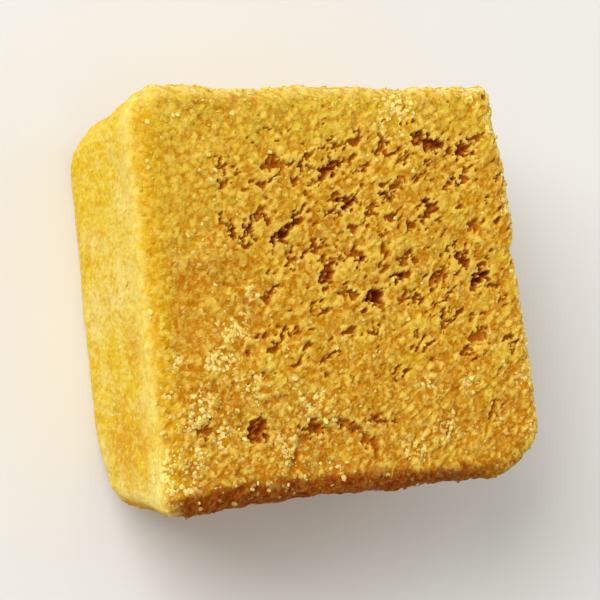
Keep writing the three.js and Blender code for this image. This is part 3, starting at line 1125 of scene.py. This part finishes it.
@dataclass(frozen=True)
class ClingingCrumbs:
    """Crumbs that lie half sunk on the block, joined into one mesh.

    Each is a lumpy ball of twenty triangles, flattened by the flatness, that lies roughly flat on the
    block and is turned by chance. Small ones are the more likely, by the power in uneven.
    """

    kind: CrumbKind
    count: int
    smallest: float
    largest: float
    sunk: float
    flatness: float
    seed: int
    uneven: float = 2.0
    lumpiness: tuple[float, float] = (0.6, 1.25)
    stretching: tuple[float, float] = (0.8, 1.2)
    longer: float = 1.25
    tilting: float = 0.35

    # What both densities follow on the plain block.
    off_floor: Step = Step(Z, 2.0, 6.0)
    pores_empty: tuple[float, float] = (0.05, 0.3)
    kept_out: float = 0.95
    edge_normal: float = 0.6
    edge_spread: float = 0.3

    # How thickly grains lie on the sides and the face, at its two ends, and how much less elsewhere.
    grains_on_sides: float = 0.35
    grains_on_face: float = 0.07
    grains_near: float = 0.9
    grains_to_near: Step = Step(Y, -8.0, -14.0)
    grains_far: float = 0.4
    grains_to_far: Step = Step(Y, 17.0, 22.0)
    calm_share: float = 0.9
    calm_leftwards: Step = Step(X, -12.0, -20.0)
    calm_farwards: Step = Step(Y, -8.0, -2.0)
    off_ridge: float = 0.8
    off_crust: float = 0.9
    off_left: float = 0.97

    # The same for crumbs, which lie in the pale patches and along the edges too.
    crumbs_anywhere: float = 0.04
    crumbs_on_face: float = 0.07
    crumbs_near_left: float = 0.8
    crumbs_to_near: Step = Step(Y, -5.0, -13.0)
    crumbs_to_left: Step = Step(X, 6.0, -8.0)
    crumbs_far: float = 0.15
    crumbs_to_far: Step = Step(Y, 19.0, 23.0)
    crumbs_in_patches: float = 1.8
    crumbs_on_edges: float = 0.5
    crumbs_on_ridge: float = 2.5
    ridge_to_near: Step = Step(Y, -2.0, -14.0)
    crumbs_off_crust: float = 0.95
    crumbs_off_left: float = 0.6

    @staticmethod
    def ball() -> tuple[Array, Array]:
        """The twelve points and twenty faces of a regular icosahedron of radius one.

        Its points are the corners of three rectangles whose sides are one and the golden ratio, and
        its faces all triples of points that lie one side apart.
        """
        golden = (1 + math.sqrt(5)) / 2
        rectangle = [(0, s, t * golden) for s in (-1, 1) for t in (-1, 1)]
        points = np.array([np.roll(corner, turn) for turn in range(3) for corner in rectangle])
        apart = np.linalg.norm(points[:, None] - points[None], axis=2)
        near = np.isclose(apart, 2)
        triples = np.array(
            [
                (a, b, c)
                for a, b, c in product(range(12), repeat=3)
                if a < b < c and near[a, b] and near[b, c] and near[a, c]
            ]
        )
        outward = np.einsum("ij,ij->i", face_vectors(points, triples), points[triples[:, 0]])
        triples[outward < 0] = triples[outward < 0][:, ::-1]
        return points / np.linalg.norm(points[0]), triples

    def density(self, block: SweetBlock) -> Array:
        """How thickly this kind lies at each of the block's points, and hardly at all in its pores."""
        regions, plain = block.regions, block.plain
        empty = self.kept_out * rise(block.values["pit"], *self.pores_empty)
        bare = self.off_floor.at(plain) * (1 - empty)
        edges = np.exp(-(((regions.normals[:, Z] - self.edge_normal) / self.edge_spread) ** 2))
        lies = self.grain_density if self.kind is CrumbKind.GRAINS else self.crumb_density
        return bare * lies(regions, plain, edges)

    def grain_density(self, regions: Regions, plain: Array, edges: Array) -> Array:
        """Grains lie on the sides, along the edges and at the near and far ends of the face."""
        near = self.grains_near * self.grains_to_near.at(plain)
        ends = self.grains_on_face + (near + self.grains_far * self.grains_to_far.at(plain))
        calm = self.calm_leftwards.at(plain) * self.calm_farwards.at(plain)
        on_face = regions.face * ends * (1 - self.calm_share * calm)
        smooth = np.maximum(self.off_ridge * regions.ridge_and_highlight, self.off_crust * regions.crust_and_shade)
        lie = self.grains_on_sides + edges * (1 - smooth) + on_face
        return (1 - self.off_left * regions.left) * lie

    def crumb_density(self, regions: Regions, plain: Array, edges: Array) -> Array:
        """Pale crumbs lie in the pale patches, along the edges and at the near left of the face."""
        near_left = self.crumbs_to_near.at(plain) * self.crumbs_to_left.at(plain)
        strewn = self.crumbs_on_face + self.crumbs_near_left * near_left
        strewn += self.crumbs_far * self.crumbs_to_far.at(plain)
        on_ridge = self.crumbs_on_ridge * regions.ridge_and_highlight * self.ridge_to_near.at(plain)
        along_edges = edges * (self.crumbs_on_edges + on_ridge)
        along_edges *= 1 - self.crumbs_off_crust * regions.crust_and_shade
        patches = self.crumbs_in_patches * regions.pale
        lie = patches + along_edges + strewn * regions.face + self.crumbs_anywhere
        return lie * (1 - self.crumbs_off_left * regions.left)

    def lumps(self, rng: np.random.Generator, ball: Array, normals: Array) -> Array:
        """Lumpy balls, one for each normal, each turned so that it lies roughly flat.

        Args:
            rng: where the chance comes from.
            ball: the points of a ball of radius one.
            normals: the block's normals where the crumbs lie, (count, 3).

        Returns:
            Points round the middle of each crumb, (count, points, 3).
        """
        lumpy = ball[None] * rng.uniform(*self.lumpiness, (self.count, len(ball), 1))
        shape = np.array([self.longer, 1.0, self.flatness])
        lumpy *= shape * rng.uniform(*self.stretching, (self.count, 1, 3))
        upwards = normals + self.tilting * rng.standard_normal((self.count, 3))
        upwards /= np.linalg.norm(upwards, axis=1, keepdims=True)
        lengthwise = np.cross(rng.standard_normal((self.count, 3)), upwards)
        lengthwise /= np.linalg.norm(lengthwise, axis=1, keepdims=True)
        turns = np.stack([lengthwise, np.cross(upwards, lengthwise), upwards], axis=1)
        return np.einsum("cpi,cij->cpj", lumpy, turns)

    def build(self, block: SweetBlock, finish: SweetFinish) -> bpy.types.Object:
        """Strews the crumbs over the block and dresses them.

        Args:
            block: the block, already shaped.
            finish: what the crumbs are made of.

        Returns:
            The piece.
        """
        rng = np.random.default_rng(self.seed)
        weights = point_areas(block.points, block.faces) * self.density(block)
        at = rng.choice(len(block.points), self.count, replace=False, p=weights / weights.sum())
        radii = mix(self.smallest, self.largest, rng.random(self.count) ** self.uneven) / 2
        normals = point_normals(block.points, block.faces)[at]
        ball, triples = self.ball()
        lumps = self.lumps(rng, ball, normals) * radii[:, None, None]
        middles = block.points[at] + normals * (radii * self.flatness * (1 - self.sunk))[:, None]
        points = (middles[:, None] + lumps).reshape(-1, 3)
        faces = triples[None] + np.arange(self.count)[:, None, None] * len(ball)
        values = {"own": np.repeat(rng.random(self.count), len(ball))}
        values |= {name: np.repeat(block.values[name][at], len(ball)) for name in CRUMB_ZONES}
        piece = mesh_object(self.kind.value, points, faces.reshape(-1, 3), values, smooth=False)
        piece.data.materials.append(finish.material())
        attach(piece, BODY)
        return piece


# ---- Finishes ----------------------------------------------------------------------------------------


def linear(colour: str) -> tuple[float, float, float, float]:
    """A colour written as six hexadecimal digits, in the linear values that shaders take."""
    shares = [int(colour[n : n + 2], 16) / 255 for n in (0, 2, 4)]
    bright = [s / 12.92 if s <= 0.04045 else ((s + 0.055) / 1.055) ** 2.4 for s in shares]
    return (*bright, 1.0)


# From where to where a number is stretched, and what to.
Ramp = tuple[float, float, tuple[float, float]]


@dataclass(frozen=True)
class Tint:
    """A colour that is blended in as a number goes from low to high, up to a share."""

    colour: str
    low: float
    high: float
    share: float


class NodeSheet:
    """A material's nodes, laid out by short calls that each return the socket they make."""

    # Between these two a cell's grey lies as a rule, as the mean of three numbers from 0 to 1.
    cell_colours: tuple[float, float] = (0.25, 0.75)

    def __init__(self, name: str) -> None:
        """Starts a material with its shader and output."""
        self.material = bpy.data.materials.new(name)
        self.material.use_nodes = True
        self.tree = self.material.node_tree
        self.tree.nodes.clear()
        self.shader = self.add("ShaderNodeBsdfPrincipled")
        output = self.add("ShaderNodeOutputMaterial")
        self.tree.links.new(self.shader.outputs["BSDF"], output.inputs["Surface"])
        place = self.add("ShaderNodeTexCoord").outputs["Object"]
        to_millimetres = self.add("ShaderNodeVectorMath", operation="SCALE")
        to_millimetres.inputs["Scale"].default_value = 1 / MILLIMETRE
        self.tree.links.new(place, to_millimetres.inputs[0])
        self.place = to_millimetres.outputs["Vector"]

    def add(self, kind: str, **settings: object) -> bpy.types.Node:
        """Adds a node of a kind, with some of its settings."""
        node = self.tree.nodes.new(kind)
        for name, value in settings.items():
            setattr(node, name, value)
        return node

    def feed(self, socket: bpy.types.NodeSocket, value: object) -> None:
        """Links a socket to another one, or sets it to a plain value."""
        if isinstance(value, bpy.types.NodeSocket):
            self.tree.links.new(value, socket)
        else:
            socket.default_value = value

    def value(self, name: str, share: float | None = None) -> bpy.types.NodeSocket:
        """The mesh's own numbers of that name, or a share of them."""
        numbers = self.add("ShaderNodeAttribute", attribute_name=name).outputs["Fac"]
        return numbers if share is None else self.combine("MULTIPLY", numbers, share)

    def noise(
        self, apart: float, detail: float = 2.0, stretch: tuple[float, float, float] = (1, 1, 1)
    ) -> bpy.types.NodeSocket:
        """Noise from 0 to 1 whose lumps lie that many millimetres apart, drawn out by the stretch."""
        scaled = self.add("ShaderNodeVectorMath", operation="DIVIDE")
        self.feed(scaled.inputs[0], self.place)
        self.feed(scaled.inputs[1], tuple(apart * share for share in stretch))
        noise = self.add("ShaderNodeTexNoise", noise_dimensions="3D")
        self.feed(noise.inputs["Vector"], scaled.outputs["Vector"])
        self.feed(noise.inputs["Scale"], 1.0)
        self.feed(noise.inputs["Detail"], detail)
        return noise.outputs["Fac"]

    def grains(self, apart: float, uneven: float) -> tuple[bpy.types.NodeSocket, bpy.types.NodeSocket]:
        """Uneven grains whose middles are strewn that many millimetres apart.

        Args:
            apart: how far apart they lie.
            uneven: how many cells the noise that bends their outlines has in that distance, and how
                far it moves them, in shares of it.

        Returns:
            How far each place is from its grain's middle, in shares of that distance, and a number
            from 0 to 1 that is the grain's own.
        """
        scaled = self.add("ShaderNodeVectorMath", operation="SCALE")
        self.feed(scaled.inputs[0], self.place)
        self.feed(scaled.inputs["Scale"], 1 / apart)
        warp = self.add("ShaderNodeTexNoise", noise_dimensions="3D")
        self.feed(warp.inputs["Vector"], scaled.outputs["Vector"])
        self.feed(warp.inputs["Scale"], uneven)
        warped = self.add("ShaderNodeVectorMath", operation="MULTIPLY_ADD")
        self.feed(warped.inputs[0], warp.outputs["Color"])
        self.feed(warped.inputs[1], (uneven, uneven, uneven))
        self.feed(warped.inputs[2], scaled.outputs["Vector"])
        cells = self.add("ShaderNodeTexVoronoi", voronoi_dimensions="3D", feature="F1")
        self.feed(cells.inputs["Vector"], warped.outputs["Vector"])
        self.feed(cells.inputs["Scale"], 1.0)
        own = self.reach(cells.outputs["Color"], *self.cell_colours)
        return cells.outputs["Distance"], own

    def reach(self, value: object, low: float, high: float, to: tuple[float, float] = (0, 1)) -> object:
        """A value stretched so that low and high become the two ends of to, and held between them."""
        node = self.add("ShaderNodeMapRange", clamp=True)
        self.feed(node.inputs["Value"], value)
        for name, number in zip(("From Min", "From Max", "To Min", "To Max"), (low, high, *to)):
            self.feed(node.inputs[name], number)
        return node.outputs["Result"]

    def combine(self, operation: str, *values: object) -> bpy.types.NodeSocket:
        """The result of an operation of the Math node on two or three values, held between 0 and 1."""
        node = self.add("ShaderNodeMath", operation=operation, use_clamp=True)
        for socket, value in zip(node.inputs, values):
            self.feed(socket, value)
        return node.outputs["Value"]

    def blend(self, first: object, second: object, share: object) -> object:
        """Two colours, mixed by a share."""
        node = self.add("ShaderNodeMix", data_type="RGBA", blend_type="MIX", clamp_result=True)
        self.feed(node.inputs["Factor"], share)
        colours = [socket for socket in node.inputs if socket.type == "RGBA"]
        for socket, colour in zip(colours, (first, second)):
            self.feed(socket, linear(colour) if isinstance(colour, str) else colour)
        return next(socket for socket in node.outputs if socket.type == "RGBA")

    def tinted(
        self, colour: object, number: object, tints: tuple[Tint, ...], times: object = None
    ) -> object:
        """A colour with tints blended in one after the other.

        Args:
            colour: the colour to start with.
            number: what the tints follow.
            tints: the tints.
            times: what their shares are multiplied by, or None for one.

        Returns:
            The colour.
        """
        for tint in tints:
            share = self.reach(number, tint.low, tint.high, (0.0, tint.share))
            if times is not None:
                share = self.combine("MULTIPLY", share, times)
            colour = self.blend(colour, tint.colour, share)
        return colour

    def bump(self, height: object, deep: float, before: object = None) -> bpy.types.NodeSocket:
        """Normals of a fine relief that is that many millimetres deep, on top of another one's."""
        node = self.add("ShaderNodeBump")
        self.feed(node.inputs["Strength"], 1.0)
        self.feed(node.inputs["Distance"], deep * MILLIMETRE)
        self.feed(node.inputs["Height"], height)
        if before is not None:
            self.feed(node.inputs["Normal"], before)
        return node.outputs["Normal"]


@dataclass(frozen=True)
class SweetFinish:
    """Cooked gram flour with ghee: matt, grainy, a little light let in, with brown painted shade in its
    pores.
    """

    name: str = "gram_flour_crumb"
    is_block: bool = True
    pale_share: float = 0.0

    face: str = "c9930c"
    face_warm: str = "c28306"
    face_yellow: str = "dcbe30"
    side: str = "e4c11c"
    side_ochre: str = "d69a12"
    side_pale: str = "ecd676"
    shoulder: str = "dbae0c"
    toasted: str = "be7406"
    # The crust colour is browned crumb, darkened further as painted shade.
    crust_and_shade: str = "7a2402"
    cream: str = "ffe78c"
    # top lightens the lightest grains and is also the painted highlight on raised crumb; hollow and pore
    # are painted shade in hollows, creases and pores.
    top: str = "ebca56"
    hollow: str = "ab5c06"
    pore: str = "842a04"

    # How far apart the noises and grains lie, in millimetres.
    broad_apart: float = 7.0
    cloud_apart: float = 3.4
    middling_apart: float = 1.3
    speckle_apart: float = 0.5
    grain_apart: float = 0.42
    grain_uneven: float = 1.3
    blotch_apart: float = 2.0
    blotch_stretch: tuple[float, float, float] = (1.0, 1.4, 1.0)
    streak_apart: float = 1.2
    streak_stretch: tuple[float, float, float] = (1.0, 1.0, 2.4)
    side_speckle_stretch: tuple[float, float, float] = (1.0, 1.0, 2.2)

    # How some noises and numbers are stretched before they are used.
    blotch_ramp: Ramp = (0.36, 0.58, (0.3, 1.6))
    ridge_ramp: Ramp = (0.38, 0.6, (0.15, 0.9))
    rim_ramp: Ramp = (0.35, 0.65, (0.0, 0.8))
    pale_ramp: Ramp = (0.5, 0.55, (0.0, 0.9))
    onto_face_ramp: Ramp = (0.0, 1.0, (0.25, 1.0))
    off_crust_ramp: Ramp = (0.0, 1.0, (1.0, 0.15))
    off_left_ramp: Ramp = (1.0, 0.0, (0.55, 1.0))
    crust_grain_ramp: Ramp = (0.0, 1.0, (0.98, 0.78))
    dome_ramp: Ramp = (0.0, 0.9, (1.0, 0.0))
    roughness_ramp: Ramp = (0.3, 0.7, (0.62, 0.82))

    # The shares of single colours, and how likely grain is pale in the block's pale patches.
    toasted_share: float = 0.85
    shoulder_share: float = 0.8
    near_tan_and_shade: float = 0.8
    between_shade_share: float = 0.3
    grain_chance: float = 0.5
    pale_chance: float = 0.21
    pale_crumb_share: float = 0.6
    cream_share: float = 0.9

    # How the surface takes light, with depths in millimetres.
    specular: float = 0.05
    light_let_in: float = 0.4
    light_reach: tuple[float, float, float] = (1.0, 0.42, 0.1)
    light_depth: float = 0.8
    dome_deep: float = 0.08
    crumb_dome_deep: float = 0.03
    speckle_deep: float = 0.05

    # What each noise or number blends in.
    broad_tints: tuple[Tint, ...] = (Tint(face_warm, 0.35, 0.65, 1.0),)
    cloud_tints: tuple[Tint, ...] = (Tint(face_yellow, 0.5, 0.66, 0.75), Tint(toasted, 0.47, 0.3, 0.5))
    speckle_tints: tuple[Tint, ...] = (Tint(top, 0.52, 0.7, 0.7), Tint(toasted, 0.46, 0.3, 0.55))
    streak_tints: tuple[Tint, ...] = (Tint(side_pale, 0.5, 0.66, 0.55), Tint(side_ochre, 0.47, 0.32, 0.5))
    side_tints: tuple[Tint, ...] = (Tint(side_pale, 0.53, 0.66, 0.6), Tint(side_ochre, 0.47, 0.33, 0.6))
    own_tints: tuple[Tint, ...] = (Tint(top, 0.6, 1.0, 0.75), Tint(toasted, 0.35, 0.0, 0.6))
    grain_tints: tuple[Tint, ...] = (Tint(top, 0.6, 1.0, 0.35), Tint(toasted, 0.4, 0.0, 0.35))
    # The gap, relief and pit tints are painted shade in creases, hollows and pores; the relief tints also
    # paint a highlight on raised crumb.
    gap_shade_tints: tuple[Tint, ...] = (Tint(hollow, 0.55, 1.0, 0.25),)
    relief_shading_tints: tuple[Tint, ...] = (Tint(top, 0.47, 0.36, 0.6), Tint(hollow, 0.54, 0.72, 0.6))
    pit_shade_tints: tuple[Tint, ...] = (Tint(hollow, 0.03, 0.25, 0.75), Tint(pore, 0.25, 0.8, 0.85))

    def face_colour(self, sheet: NodeSheet, speckle: object) -> object:
        """The porous face: tan with warmer, yellower and toasted clouds.

        Args:
            sheet: the material's nodes.
            speckle: fine noise from 0 to 1.

        Returns:
            The colour.
        """
        colour = sheet.tinted(linear(self.face), sheet.noise(self.broad_apart, 3.0), self.broad_tints)
        colour = sheet.blend(colour, self.face_yellow, sheet.value("yellow"))
        colour = sheet.tinted(colour, sheet.noise(self.cloud_apart, 4.0), self.cloud_tints)
        colour = sheet.blend(colour, self.toasted, sheet.value("toasted", self.toasted_share))
        colour = sheet.tinted(colour, speckle, self.speckle_tints)
        return sheet.blend(colour, self.shoulder, sheet.value("shoulder", self.shoulder_share))

    def side_colour(self, sheet: NodeSheet, speckle: object) -> object:
        """The cut sides: yellow, with pale and ochre blotches and short streaks that run down.

        Args:
            sheet: the material's nodes.
            speckle: fine noise from 0 to 1.

        Returns:
            The colour.
        """
        colour = linear(self.side)
        if self.is_block:
            noise = sheet.noise(self.blotch_apart, 5.0, self.blotch_stretch)
            blotch = sheet.reach(noise, *self.blotch_ramp)
            for name, tint in (("ochre", self.side_ochre), ("blanched", self.side_pale)):
                colour = sheet.blend(colour, tint, sheet.combine("MULTIPLY", sheet.value(name), blotch))
            streak = sheet.noise(self.streak_apart, 4.0, self.streak_stretch)
            colour = sheet.tinted(colour, streak, self.streak_tints)
            speckle = sheet.noise(self.speckle_apart, 3.0, self.side_speckle_stretch)
        colour = sheet.tinted(colour, speckle, self.side_tints)
        # The near side takes the face's warm tan, darkened partly as painted shade.
        return sheet.blend(colour, self.face_warm, sheet.value("near", self.near_tan_and_shade))

    def open_crumb(self, sheet: NodeSheet, colour: object, middling: object, grain: object) -> object:
        """The block's worn edges, the left one partly a painted highlight, and the single pale grains in
        its pale patches.

        Args:
            sheet: the material's nodes.
            colour: the colour below.
            middling: noise from 0 to 1.
            grain: each grain's own number from 0 to 1.

        Returns:
            The colour.
        """
        # The left edge's pale band is pale crumb and a painted highlight; the rim is pale crumb.
        edges = (("ridge_and_highlight", self.ridge_ramp, self.side_pale), ("rim", self.rim_ramp, self.cream))
        for name, ramp, tint in edges:
            share = sheet.combine("MULTIPLY", sheet.value(name), sheet.reach(middling, *ramp))
            colour = sheet.blend(colour, tint, share)
        pale = sheet.value("pale", self.pale_chance)
        likely = sheet.combine("MULTIPLY_ADD", grain, self.grain_chance, pale)
        return sheet.blend(colour, self.cream, sheet.reach(likely, *self.pale_ramp))

    def holes(self, sheet: NodeSheet, colour: object) -> object:
        """Painted shade in the block's creases, hollows and pores, browner the deeper they are, and a
        painted highlight on its raised crumb.

        Args:
            sheet: the material's nodes.
            colour: the colour above them.

        Returns:
            The colour.
        """
        # Painted shade in the creases between granules.
        colour = sheet.blend(colour, self.hollow, sheet.value("between", self.between_shade_share))
        onto_face = sheet.reach(sheet.value("face"), *self.onto_face_ramp)
        off_crust = sheet.reach(sheet.value("crust_and_shade"), *self.off_crust_ramp)
        strength = sheet.combine("MULTIPLY", onto_face, off_crust)
        colour = sheet.tinted(colour, sheet.value("hollow"), self.relief_shading_tints, strength)
        return sheet.tinted(colour, sheet.value("pit"), self.pit_shade_tints)

    def material(self) -> bpy.types.Material:
        """The material, whose colours follow the numbers kept in the mesh and noise on the piece.

        Returns:
            The material.
        """
        sheet = NodeSheet(self.name)
        middling = sheet.noise(self.middling_apart, 3.0)
        speckle = sheet.noise(self.speckle_apart, 2.0)
        from_middle, grain = sheet.grains(self.grain_apart, self.grain_uneven)
        coarse = sheet.reach(sheet.value("left"), *self.off_left_ramp) if self.is_block else 1.0

        face = sheet.tinted(self.face_colour(sheet, speckle), sheet.value("own"), self.own_tints)
        colour = sheet.blend(self.side_colour(sheet, speckle), face, sheet.value("face"))
        colour = sheet.tinted(colour, grain, self.grain_tints, coarse)
        # The browned band along the near edge, darkened further as painted shade, varied grain by grain.
        crust_grain_share = sheet.reach(grain, *self.crust_grain_ramp)
        colour = sheet.blend(colour, self.crust_and_shade, sheet.combine("MULTIPLY", sheet.value("crust_and_shade"), crust_grain_share))
        if self.is_block:
            colour = self.open_crumb(sheet, colour, middling, grain)
        else:
            lighter = sheet.combine("MULTIPLY", sheet.value("own"), self.pale_share)
            pale = sheet.combine("ADD", sheet.value("pale", self.pale_crumb_share), lighter)
            share = sheet.combine("MULTIPLY", pale, self.cream_share)
            colour = sheet.blend(colour, self.cream, share)
        # Painted shade at the edges of the fine grains.
        colour = sheet.tinted(colour, from_middle, self.gap_shade_tints, coarse)
        if self.is_block:
            colour = self.holes(sheet, colour)

        dome = sheet.combine("MULTIPLY", sheet.reach(from_middle, *self.dome_ramp), coarse)
        normal = sheet.bump(dome, self.dome_deep if self.is_block else self.crumb_dome_deep)
        looks = {
            "Base Color": colour,
            "Roughness": sheet.reach(middling, *self.roughness_ramp),
            "Specular IOR Level": self.specular,
            "Subsurface Weight": self.light_let_in,
            "Subsurface Radius": self.light_reach,
            "Subsurface Scale": self.light_depth * MILLIMETRE,
            "Normal": sheet.bump(speckle, self.speckle_deep, normal),
        }
        for name, value in looks.items():
            sheet.feed(sheet.shader.inputs[name], value)
        return sheet.material


@dataclass(frozen=True)
class FloorFinish:
    """A plain pale floor, matt, with a trace of unevenness."""

    colour: str = "e8e7e5"
    shade: str = "e3e2df"
    cloud_apart: float = 60.0
    cloud_ramp: tuple[float, float] = (0.3, 0.7)
    roughness: float = 0.75

    def material(self) -> bpy.types.Material:
        """The floor's material."""
        sheet = NodeSheet("pale_floor")
        cloud = sheet.reach(sheet.noise(self.cloud_apart), *self.cloud_ramp)
        sheet.feed(sheet.shader.inputs["Base Color"], sheet.blend(self.colour, self.shade, cloud))
        sheet.feed(sheet.shader.inputs["Roughness"], self.roughness)
        return sheet.material


# ---- The studio --------------------------------------------------------------------------------------


@dataclass(frozen=True)
class SoftBox:
    """A square soft light that looks at the block from a direction."""

    name: str
    towards: tuple[float, float, float]
    away: float
    size: float
    power: float
    tint: tuple[float, float, float]

    def build(self, aim: Vector) -> bpy.types.Object:
        """Hangs the light and turns it to the aim."""
        lamp = bpy.data.lights.new(self.name, "AREA")
        lamp.size = self.size
        lamp.energy = self.power
        lamp.color = self.tint
        box = bpy.data.objects.new(self.name, lamp)
        direction = Vector(self.towards).normalized()
        box.location = aim + direction * self.away
        box.rotation_mode = "QUATERNION"
        box.rotation_quaternion = direction.to_track_quat("Z", "Y")
        bpy.context.scene.collection.objects.link(box)
        return box


@dataclass(frozen=True)
class Viewpoint:
    """Where the camera stands, as seen from the middle of the block.

    It leans from straight above towards the left side by lean_left and towards the near side by
    lean_near, and is rolled by roll. The picture takes in the given width at the block.
    """

    away: float = 0.45
    lean_left: float = math.radians(23)
    lean_near: float = math.radians(3)
    roll: float = math.radians(4.8)
    width: float = 0.074

    def build(self, aim: Vector) -> bpy.types.Object:
        """Makes the camera and makes it the scene's own.

        Its back points along the lean, its top is the floor's +Y made square to that, and both it and
        the right-hand direction are then rolled.
        """
        back = Vector(
            (
                -math.sin(self.lean_left) * math.cos(self.lean_near),
                -math.sin(self.lean_near),
                math.cos(self.lean_left) * math.cos(self.lean_near),
            )
        )
        top = (Vector((0, 1, 0)) - back * back.y).normalized()
        right = top.cross(back)
        cos, sin = math.cos(self.roll), math.sin(self.roll)
        right, top = right * cos - top * sin, right * sin + top * cos
        place = Matrix((right, top, back)).transposed().to_4x4()
        place.translation = aim + back * self.away
        lens = bpy.data.cameras.new("camera")
        lens.sensor_width = 36.0
        lens.lens = lens.sensor_width * self.away / self.width
        lens.clip_start, lens.clip_end = 0.01, 10.0
        camera = bpy.data.objects.new("camera", lens)
        camera.matrix_world = place
        bpy.context.scene.collection.objects.link(camera)
        bpy.context.scene.camera = camera
        return camera


@dataclass(frozen=True)
class Studio:
    """The floor, the lights, the air's own light and the camera."""

    form: BlockForm
    floor_half: float = 900.0
    floor_lines: int = 13
    air: tuple[float, float, float, float] = (1.0, 0.99, 0.975, 1.0)
    air_strength: float = 0.52
    boxes: tuple[SoftBox, ...] = (
        SoftBox("key_light", (-0.54, 0.48, 0.70), 1.4, 0.95, 17.5, (1.0, 0.99, 0.965)),
        SoftBox("fill_light", (0.8, 0.1, 0.6), 0.9, 0.7, 0.8, (1.0, 0.99, 0.98)),
    )

    def build(self) -> None:
        """Lays the floor, lights the room and stands the camera up."""
        edge = np.linspace(-self.floor_half, self.floor_half, self.floor_lines)
        y, x = np.meshgrid(edge, edge, indexing="ij")
        skin = Skin()
        numbers = skin.add(np.column_stack([x.ravel(), y.ravel(), np.zeros(x.size)]))
        skin.grid(numbers.reshape(x.shape))
        floor = mesh_object("floor", skin.points, skin.faces)
        floor.data.materials.append(FloorFinish().material())

        aim = Vector((0, 0, self.form.thickness / 2 * MILLIMETRE))
        for box in self.boxes:
            box.build(aim)
        world = bpy.data.worlds.new("pale_room")
        world.use_nodes = True
        background = world.node_tree.nodes["Background"]
        background.inputs["Color"].default_value = self.air
        background.inputs["Strength"].default_value = self.air_strength
        bpy.context.scene.world = world
        bpy.context.scene.view_settings.view_transform = "Standard"
        Viewpoint().build(aim)


# ---- Everything --------------------------------------------------------------------------------------


def main() -> None:
    """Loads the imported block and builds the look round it."""
    logging.basicConfig(level=logging.INFO, format="%(name)s: %(message)s")
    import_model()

    block = SweetBlock()
    piece = block.build(SweetFinish())
    log.info("%s: %d triangles", piece.name, len(piece.data.polygons))

    grain_finish = SweetFinish(name="clinging_grain", is_block=False, pale_share=0.15)
    crumb_finish = SweetFinish(name="pale_crumb", is_block=False, pale_share=1.0)
    strewn = (
        (ClingingCrumbs(CrumbKind.GRAINS, 1200, 0.28, 0.6, 0.9, 0.6, 11), grain_finish),
        (ClingingCrumbs(CrumbKind.CRUMBS, 850, 0.3, 0.75, 0.8, 0.6, 12), crumb_finish),
    )
    for crumbs, finish in strewn:
        piece = crumbs.build(block, finish)
        log.info("%s: %d triangles", piece.name, len(piece.data.polygons))

    Studio(block.form).build()
    log.info("studio: floor, lights and camera")


if __name__ == "__main__":
    main()
